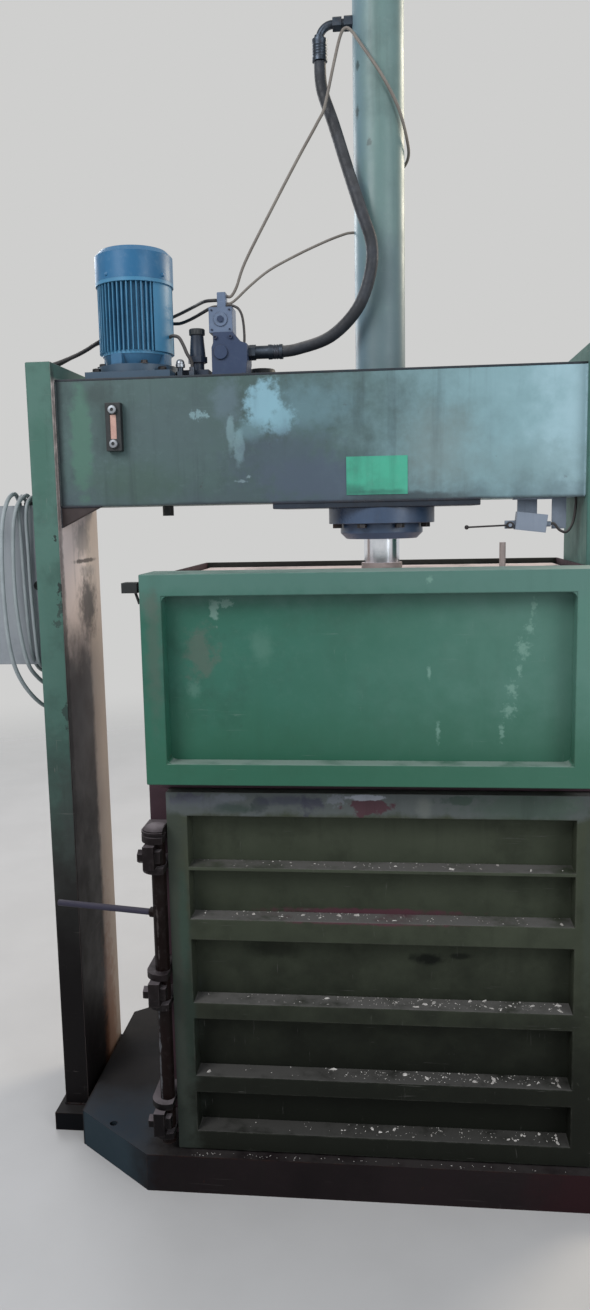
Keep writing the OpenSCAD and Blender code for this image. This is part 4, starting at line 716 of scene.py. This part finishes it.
VALVE_LEAD = [
    (-0.38, 0, 2.008), (-0.392, 0, 2.008), (-0.416, 0.018, 2.01), (-0.454, 0.08, 2.012), (-0.5, 0.128, 2.006),
    (-0.544, 0.15, 1.996), (-0.6, 0.154, 1.982), (-0.65, 0.148, 1.966), (-0.704, 0.116, 1.942), (-0.752, 0.064, 1.904),
    (-0.786, 0.024, 1.876), (-0.806, 0.014, 1.869), (-0.815, 0.012, 1.86), (-0.815, 0.01, 1.844), (-0.815, 0.01, 1.78),
    (-0.815, 0.01, 1.68), (-0.816, 0.01, 1.56), (-0.816, 0.01, 1.538),
]
CYLINDER_LEAD = [
    (-0.359, 0, 2.016), (-0.348, 0, 2.016), (-0.334, -0.002, 2.036), (-0.312, -0.004, 2.09), (-0.25, -0.012, 2.195),
    (-0.184, -0.03, 2.298), (-0.134, -0.048, 2.37), (-0.118, -0.052, 2.4), (-0.096, -0.05, 2.491),
    (-0.082, -0.044, 2.546), (-0.071, -0.041, 2.562), (-0.058, -0.046, 2.554), (-0.039, -0.062, 2.522),
    (0.002, -0.068, 2.461), (0.031, -0.06, 2.413), (0.049, -0.05, 2.375), (0.063, -0.022, 2.332),
    (0.067, 0.008, 2.308), (0.057, 0.038, 2.294), (0.035, 0.06, 2.284), (0.01, 0.067, 2.276), (0, 0.068, 2.262),
    (0, 0.068, 2.24),
]
SENSOR_LEAD = [
    (-0.359, 0, 2.0), (-0.35, 0, 2.0), (-0.336, 0.004, 2.01), (-0.3, 0.008, 2.042), (-0.254, 0.008, 2.074),
    (-0.184, 0.006, 2.106), (-0.12, 0.002, 2.13), (-0.08, 0, 2.142), (-0.066, 0, 2.144), (-0.0575, 0, 2.144),
]
COIL_LOOP = [
    (-0.359, -0.008, 1.9935), (-0.35, -0.009, 1.9938), (-0.34, -0.012, 1.991), (-0.329, -0.016, 1.984),
    (-0.321, -0.02, 1.97), (-0.317, -0.022, 1.95), (-0.3155, -0.022, 1.928), (-0.3155, -0.022, 1.914),
    (-0.316, -0.022, 1.9052),
]
PUMP_LOOP = [
    (-0.4935, -0.021, 1.925), (-0.484, -0.024, 1.927), (-0.47, -0.028, 1.922), (-0.459, -0.033, 1.904),
    (-0.45, -0.038, 1.884), (-0.441, -0.04, 1.869), (-0.438, -0.04, 1.86), (-0.438, -0.04, 1.852),
]
BOX_LEAD = [
    (-0.38, 0.004, 1.994), (-0.386, 0.004, 1.994), (-0.393, 0.005, 1.9935), (-0.404, 0.01, 1.991),
    (-0.418, 0.02, 1.987), (-0.434, 0.034, 1.983), (-0.45, 0.05, 1.98), (-0.466, 0.067, 1.978), (-0.48, 0.082, 1.977),
    (-0.492, 0.094, 1.977), (-0.502, 0.101, 1.978), (-0.511, 0.105, 1.979), (-0.52, 0.106, 1.979),
    (-0.528, 0.106, 1.979),
]
CABLE_A = [
    (-0.88, -0.03, 1.538), (-0.88, -0.03, 1.55), (-0.878, -0.062, 1.568), (-0.88, -0.106, 1.548),
    (-0.889, -0.124, 1.483), (-0.893, -0.129, 1.342), (-0.885, -0.127, 1.199), (-0.868, -0.108, 1.118),
    (-0.84, -0.06, 1.054), (-0.818, -0.008, 1.038), (-0.812, 0.028, 1.072), (-0.814, 0.038, 1.128),
    (-0.814, 0.038, 1.158),
]
CABLE_B = [
    (-0.85, -0.03, 1.538), (-0.85, -0.03, 1.55), (-0.85, -0.06, 1.564), (-0.859, -0.098, 1.538),
    (-0.869, -0.108, 1.471), (-0.871, -0.112, 1.317), (-0.856, -0.106, 1.178), (-0.84, -0.07, 1.12),
    (-0.826, -0.016, 1.092), (-0.828, 0.02, 1.102), (-0.836, 0.036, 1.136), (-0.836, 0.036, 1.158),
]
CABLE_C = [
    (-0.866, -0.018, 1.538), (-0.866, -0.018, 1.55), (-0.864, -0.056, 1.562), (-0.86, -0.088, 1.532),
    (-0.856, -0.094, 1.47), (-0.853, -0.094, 1.34), (-0.85, -0.093, 1.24), (-0.848, -0.084, 1.18),
    (-0.848, -0.044, 1.142), (-0.85, 0.008, 1.128), (-0.855, 0.044, 1.136), (-0.856, 0.05, 1.158),
]
CABLE_D = [
    (-0.836, -0.018, 1.538), (-0.836, -0.018, 1.55), (-0.836, -0.054, 1.56), (-0.838, -0.086, 1.544),
    (-0.841, -0.092, 1.5), (-0.841, -0.09, 1.44), (-0.84, -0.09, 1.34), (-0.836, -0.089, 1.23),
    (-0.833, -0.082, 1.164), (-0.828, -0.05, 1.144), (-0.823, -0.006, 1.138), (-0.821, 0.008, 1.146),
    (-0.821, 0.008, 1.158),
]
SWITCH_LEAD = [
    (0.38, -0.1, 1.474), (0.388, -0.1, 1.474), (0.4, -0.1, 1.46), (0.416, -0.098, 1.456), (0.43, -0.092, 1.476),
    (0.436, -0.09, 1.512), (0.436, -0.09, 1.533),
]


def hose_ferrules():
    """Ribbed ferrules at the two ends of the hose."""
    mesh = bmesh.new()
    for place, direction, length in ((HOSE[0], (1, 0, 0), 0.034), (HOSE[-1], (0, 0, -1), 0.046)):
        r = 0.0172
        profile = [(0.0125, 0), (r, 0), (r, 0.006)]
        steps = int(length / 0.007)
        for i in range(1, steps):
            z = 0.006 + (length - 0.01) * i / steps
            profile += [(r - 0.0011, z - 0.0012), (r - 0.0011, z + 0.0012), (r, z + 0.0022)]
        profile += [(r, length), (0.0138, length + 0.001), (0.0125, length + 0.001)]
        lathe(mesh, profile, aim(place, direction), 28)
    return place_piece("hose_ferrules", mesh, "fitting")


def cable_glands():
    """Glands where the cables enter the cabinet and the terminal box."""
    mesh = bmesh.new()
    for route, inner in ((CABLE_A, 0.005), (CABLE_B, 0.005), (CABLE_C, 0.0045), (CABLE_D, 0.0045)):
        gland(mesh, route[0], (0, 0, 1), inner)
        gland(mesh, route[-1], (0, 0, -1), inner)
    gland(mesh, MOTOR_LEAD[-1], (0, 0, 1), 0.005)
    gland(mesh, VALVE_LEAD[-1], (0, 0, 1), 0.004)
    gland(mesh, MOTOR_LEAD[0], (-1, 0, 0), 0.005, 0.009)
    gland(mesh, BOX_LEAD[-1], (1, 0, 0), 0.004, 0.008)
    place_piece("cable_glands", mesh, "black")


ferrules = hose_ferrules()
cable_glands()
cord("hose_line", HOSE, 0.027, "hose", "hydraulic_hose")
cord("motor_line", MOTOR_LEAD, 0.01, "lead", "motor_lead")
cord("valve_line", VALVE_LEAD, 0.008, "lead", "valve_lead")
cord("cylinder_line", CYLINDER_LEAD, 0.007, "line", "cylinder_lead")
cord("sensor_line", SENSOR_LEAD, 0.006, "line")
cord("coil_loop", COIL_LOOP, 0.006, "lead")
cord("box_line", BOX_LEAD, 0.008, "lead")
cord("pump_loop", PUMP_LOOP, 0.008, "lead")
cord("cable_a_line", CABLE_A, 0.01, "cable", "cabinet_cable_a")
cord("cable_b_line", CABLE_B, 0.01, "cable", "cabinet_cable_b")
cord("cable_c_line", CABLE_C, 0.009, "cable")
cord("cable_d_line", CABLE_D, 0.009, "cable")
cord("switch_line", SWITCH_LEAD, 0.006, "lead", "switch_lead")


# Fixings, welds and crumbs

MOTOR_X = -0.578
FLANGE_Z = 1.858
BELL_TURN = radians(-20)
# Radii of the rings of screws on the motor's flange, on its adaptor and round the fan cover
FLANGE_RING, ADAPTOR_RING, COVER_RING = 0.083, 0.11, 0.0905
RELIEF_X = -0.432
FILLER = (-0.29, 0.085)
PUMP_FITTING = (-0.466, -0.04, 1.852)
GAUGE_RISE = 0.038   # half the pitch of the gauge's screws
DECK_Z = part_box("base_frame")[1].z
# The jamb's corner on the deck, and the plates of the lock's bearings
JAMB_X, JAMB_Y = -0.511, -0.31
BEARING_PLATES, PLATE = (0.139, 0.209, 0.442, 0.511, 0.751, 0.818), 0.014
BEARING_SEAM = (-0.509, -0.477)
DOOR_LEDGES = (0.137, 0.27, 0.443, 0.637, 0.755)
LEDGE_START, LEDGE_LENGTH = -0.405, 0.8
# The gate's recess, across and in height
RECESS_X, RECESS_Z = (-0.437, 0.383), (1.001, 1.347)


def motor_fixings():
    """Bolts on the motor's flange and its adaptor, and screws round the fan cover."""
    mesh = bmesh.new()
    for k in range(4):
        b = radians(45 + 90 * k)
        a = BELL_TURN + b
        flange = (MOTOR_X + FLANGE_RING * cos(a), FLANGE_RING * sin(a), FLANGE_Z)
        adaptor = (MOTOR_X + ADAPTOR_RING * cos(b), ADAPTOR_RING * sin(b), FLANGE_Z - 0.018)
        hex_bolt(mesh, flange, (0, 0, 1), 0.014, 0.007)
        hex_bolt(mesh, adaptor, (0, 0, 1), 0.017, 0.008)
    place_piece("motor_fixings", mesh, "bolt")
    mesh = bmesh.new()
    for k in range(4):
        a = radians(-30 + 90 * k)
        out = Vector((cos(a), sin(a), 0))
        place = Vector((MOTOR_X, 0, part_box("fan_cover")[0].z + 0.01)) + out * COVER_RING
        lathe(mesh, [(0, 0), (0.0048, 0), (0.0044, 0.002), (0.003, 0.003), (0, 0.0032)], aim(place, out), 16)
    place_piece("cover_screws", mesh, "cover")


def valve_fixings():
    """Cap screws on the valve block and its coil, and fluted rims on the relief valve and the filler cap."""
    mesh = bmesh.new()
    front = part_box("valve_block")[0].y
    for x, z in ((-0.382, 1.832), (-0.318, 1.832), (-0.382, 1.918), (-0.346, 1.918)):
        socket_screw(mesh, (x, front + 0.005, z), (0, -1, 0), 0.0048)
    low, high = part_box("valve_coil")
    for x in (low.x + 0.007, high.x - 0.007):
        for z in (low.z + 0.007, high.z - 0.007):
            socket_screw(mesh, (x, low.y + 0.003, z), (0, -1, 0), 0.0022)
    hex_bolt(mesh, ((low.x + high.x) / 2, low.y, low.z + 0.03), (0, -1, 0), 0.014, 0.004, washer=False)
    place_piece("valve_fixings", mesh, "valve")
    mesh = bmesh.new()
    lathe(mesh, [(0.015, -0.0142), (0.0178, -0.0135), (0.0178, -0.0015), (0.0165, 0), (0, 0.0004)],
          aim((RELIEF_X, 0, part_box("relief_valve")[1].z)), 44, flute=0.045)
    lathe(mesh, [(0.03, -0.0242), (0.0314, -0.0235), (0.0314, -0.003), (0.029, 0.0004), (0, 0.0008)],
          aim((*FILLER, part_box("tank_plugs")[1].z)), 48, flute=0.03)
    place_piece("fluted_caps", mesh, "black")


def gauge_screws():
    """Domed screws of the level gauge, and the cap nut on the small pump fitting beside the relief valve."""
    mesh = bmesh.new()
    low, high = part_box("level_gauge")
    middle = (low + high) / 2
    for rise in (-GAUGE_RISE, GAUGE_RISE):
        lathe(mesh, [(0, -0.001), (0.0098, -0.001), (0.0098, 0.006), (0.0088, 0.0072), (0.004, 0.0076),
                     (0.0036, 0.006), (0, 0.0058)], aim((middle.x, low.y + 0.006, middle.z + rise), (0, -1, 0)), 28)
    lathe(mesh, [(0.011, 0), (0.011, 0.007), (0.0098, 0.008), (0.0098, 0.011), (0.0085, 0.015), (0.005, 0.018),
                 (0, 0.019)], aim(PUMP_FITTING), 24)
    place_piece("gauge_screws", mesh, "zinc")


def cabinet_lock():
    """A quarter-turn lock on the cabinet's door."""
    mesh = bmesh.new()
    low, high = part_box("cabinet_door")
    lathe(mesh, [(0, 0), (0.011, 0), (0.011, 0.0015), (0.0095, 0.003), (0.006, 0.003), (0.006, 0.0012),
                 (0, 0.0012)], aim((high.x - 0.022, low.y, (low.z + high.z) / 2), (0, -1, 0)), 28)
    place_piece("cabinet_lock", mesh, "black", "cabinet_cover")


def welds():
    """Beads where the crosshead, plates, uprights, base and bearings are welded together."""
    mesh = bmesh.new()
    low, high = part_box("crosshead_tank")
    for index, (x, y) in enumerate(((low.x, low.y), (high.x, low.y), (low.x, high.y), (high.x, high.y))):
        weld(mesh, (x, y, low.z), (x, y, high.z), 0.0038, index)
    place_piece("crosshead_welds", mesh, "tank")
    mesh = bmesh.new()
    low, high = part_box("ram_plate")
    weld(mesh, (low.x, low.y, high.z), (high.x, low.y, high.z), 0.0032, 5)
    low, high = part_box("corner_gussets")
    weld(mesh, (low.x, low.y, low.z), (low.x, low.y, high.z), 0.003, 6)
    weld(mesh, (low.x, low.y, high.z), (high.x, low.y, high.z), 0.003, 7)
    place_piece("plate_welds", mesh, "plate")
    mesh = bmesh.new()
    for upright in ("left_upright", "right_upright"):
        low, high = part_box(upright)
        for index, y in enumerate((low.y, high.y)):
            weld(mesh, (low.x, y, low.z), (high.x, y, low.z), 0.0045, 8 + index)
        for index, x in enumerate((low.x, high.x)):
            weld(mesh, (x, low.y, low.z), (x, high.y, low.z), 0.0045, 10 + index)
    corner = (JAMB_X, JAMB_Y, DECK_Z)
    weld(mesh, corner, (JAMB_X, -0.25, DECK_Z), 0.004, 12)
    weld(mesh, corner, (-0.475, JAMB_Y, DECK_Z), 0.004, 13)
    place_piece("base_welds", mesh, "base")
    mesh = bmesh.new()
    left, right = BEARING_SEAM
    for z in BEARING_PLATES:
        for edge in (z, z + PLATE):
            weld(mesh, (left, JAMB_Y, edge), (right, JAMB_Y, edge), 0.0028, int(z * 1000))
    place_piece("bearing_welds", mesh, "bearing")


def crumb(mesh, place, size, dice):
    """Adds one torn scrap: a bent, flattened chip."""
    turn = Matrix.Rotation(dice.uniform(0, tau), 4, "Z") @ Matrix.Rotation(dice.uniform(-0.3, 0.3), 4, "X")
    where = Matrix.Translation(place) @ turn
    long, wide, thick = size * dice.uniform(0.8, 1.6), size * dice.uniform(0.4, 0.9), size * dice.uniform(0.15, 0.4)
    top, low = [], []
    for k in range(5):
        a = tau * k / 5 + dice.uniform(-0.3, 0.3)
        flat = Vector((long * cos(a), wide * sin(a), 0)) * 0.5
        low.append(mesh.verts.new(where @ flat))
        top.append(mesh.verts.new(where @ (flat * 0.7 + Vector((0, 0, thick * dice.uniform(0.5, 1.2))))))
    close(mesh, low, top)


def crumbs():
    """Scraps of paper that lie on the door's ledges and on the edge of the deck."""
    mesh = bmesh.new()
    dice = random.Random(11)
    # Number on each ledge from the lowest up, and where along the ledge they gather
    for ledge, (count, middle) in zip(DOOR_LEDGES, ((130, 0.75), (200, 0.72), (190, 0.65), (110, 0.5), (70, 0.5))):
        for _ in range(count):
            along = min(max(dice.gauss(middle, 0.26), 0.02), 0.98)
            place = (LEDGE_START + LEDGE_LENGTH * along, dice.uniform(-0.358, -0.32), ledge)
            large = dice.random() < 0.05 * (1 + 2 * (along > 0.75))
            crumb(mesh, place, dice.uniform(0.006, 0.012) if large else dice.uniform(0.0012, 0.0038), dice)
    place_piece("door_crumbs", mesh, "crumb", "lower_door", angle=20)
    mesh = bmesh.new()
    for _ in range(60):
        place = (dice.uniform(-0.45, 0.4), dice.uniform(-0.388, -0.374), DECK_Z)
        crumb(mesh, place, dice.uniform(0.0012, 0.0035), dice)
    place_piece("deck_crumbs", mesh, "crumb", angle=20)


def recess_corners():
    """Rounded inner corners of the gate's recess."""
    mesh = bmesh.new()
    front, back, r = GATE_RIM_Y + 0.002, GATE_Y + 0.001, 0.012
    for x, side_x in zip(RECESS_X, (1, -1)):
        for z, side_z in zip(RECESS_Z, (1, -1)):
            arc = [(x, z)]
            for k in range(9):
                a = radians(90 * k / 8)
                arc.append((x + side_x * r * (1 - sin(a)), z + side_z * r * (1 - cos(a))))
            close(mesh, *[[mesh.verts.new((px, y, pz)) for px, pz in arc] for y in (front, back)])
    place_piece("recess_corners", mesh, "gate", "upper_gate")


motor_fixings()
valve_fixings()
gauge_screws()
cabinet_lock()
welds()
crumbs()
recess_corners()


# Stage, lamps and world

FLOOR_HALF = 9.0
FLOOR_FADE = (2.6, 6.5)   # opaque up to here, clear from there on
CENTRE = (-0.1, 0, 1.2)


def stage_floor():
    """A pale floor that fades into the background away from the object."""
    data = bpy.data.meshes.new("floor")
    corners = [(FLOOR_HALF * x, FLOOR_HALF * y, 0) for x, y in ((-1, -1), (1, -1), (1, 1), (-1, 1))]
    data.from_pydata(corners, [], [(0, 1, 2, 3)])
    floor = new_object("floor", data)
    s = Shader("pale_floor")
    tone = s.mix(s.times(s.band(s.noise(3, 5), 0.3, 0.7), 0.5), "#B9B7B4", "#AFADAA")
    s.finish(tone, 0.7)
    clear = s.add("ShaderNodeBsdfTransparent")
    fade = s.band(s.vector("LENGTH", s.place, output="Value"), *FLOOR_FADE)
    both = s.add("ShaderNodeMixShader", None, (fade, s.surface.outputs[0], clear.outputs[0]))
    s.put(s.tree.nodes["Material Output"].inputs["Surface"], both.outputs[0])
    data.materials.append(s.material)


def lamp(name, place, size, power, colour):
    """A round lamp that shines at the object's middle."""
    data = bpy.data.lights.new(name, "AREA")
    data.shape = "DISK"
    data.size = size
    data.energy = power
    data.color = colour
    light = new_object(name, data)
    light.location = place
    light.rotation_mode = "QUATERNION"
    light.rotation_quaternion = (Vector(place) - Vector(CENTRE)).to_track_quat("Z", "Y")


def plain_world():
    """Soft light from all round, behind a plain grey that the camera and reflections see."""
    world = bpy.data.worlds.new("world")
    bpy.context.scene.world = world
    world.use_nodes = True
    tree = world.node_tree
    tree.nodes.clear()
    add, link = tree.nodes.new, tree.links.new
    seen, soft = add("ShaderNodeBackground"), add("ShaderNodeBackground")
    seen.inputs["Color"].default_value = linear("#CFCFCE")
    soft.inputs["Color"].default_value = (0.89, 0.95, 1.07, 1)
    soft.inputs["Strength"].default_value = 0.6
    path = add("ShaderNodeLightPath")
    rays = add("ShaderNodeMath")
    rays.operation = "MAXIMUM"
    link(path.outputs["Is Camera Ray"], rays.inputs[0])
    link(path.outputs["Is Glossy Ray"], rays.inputs[1])
    both, end = add("ShaderNodeMixShader"), add("ShaderNodeOutputWorld")
    for node, socket in zip((rays, soft, seen), both.inputs):
        link(node.outputs[0], socket)
    link(both.outputs[0], end.inputs[0])


stage_floor()
plain_world()
lamp("key", (-2.6, -3.4, 4.2), 2.6, 142, (0.98, 0.98, 1.0))
lamp("fill", (2.8, -3.0, 2.6), 2.4, 60, (0.93, 0.97, 1.0))
lamp("rim", (2.6, 2.6, 3.6), 2.0, 105, (1.0, 0.88, 0.7))
lamp("back", (-2.6, 2.8, 3.0), 2.0, 50, (0.95, 0.97, 1.0))
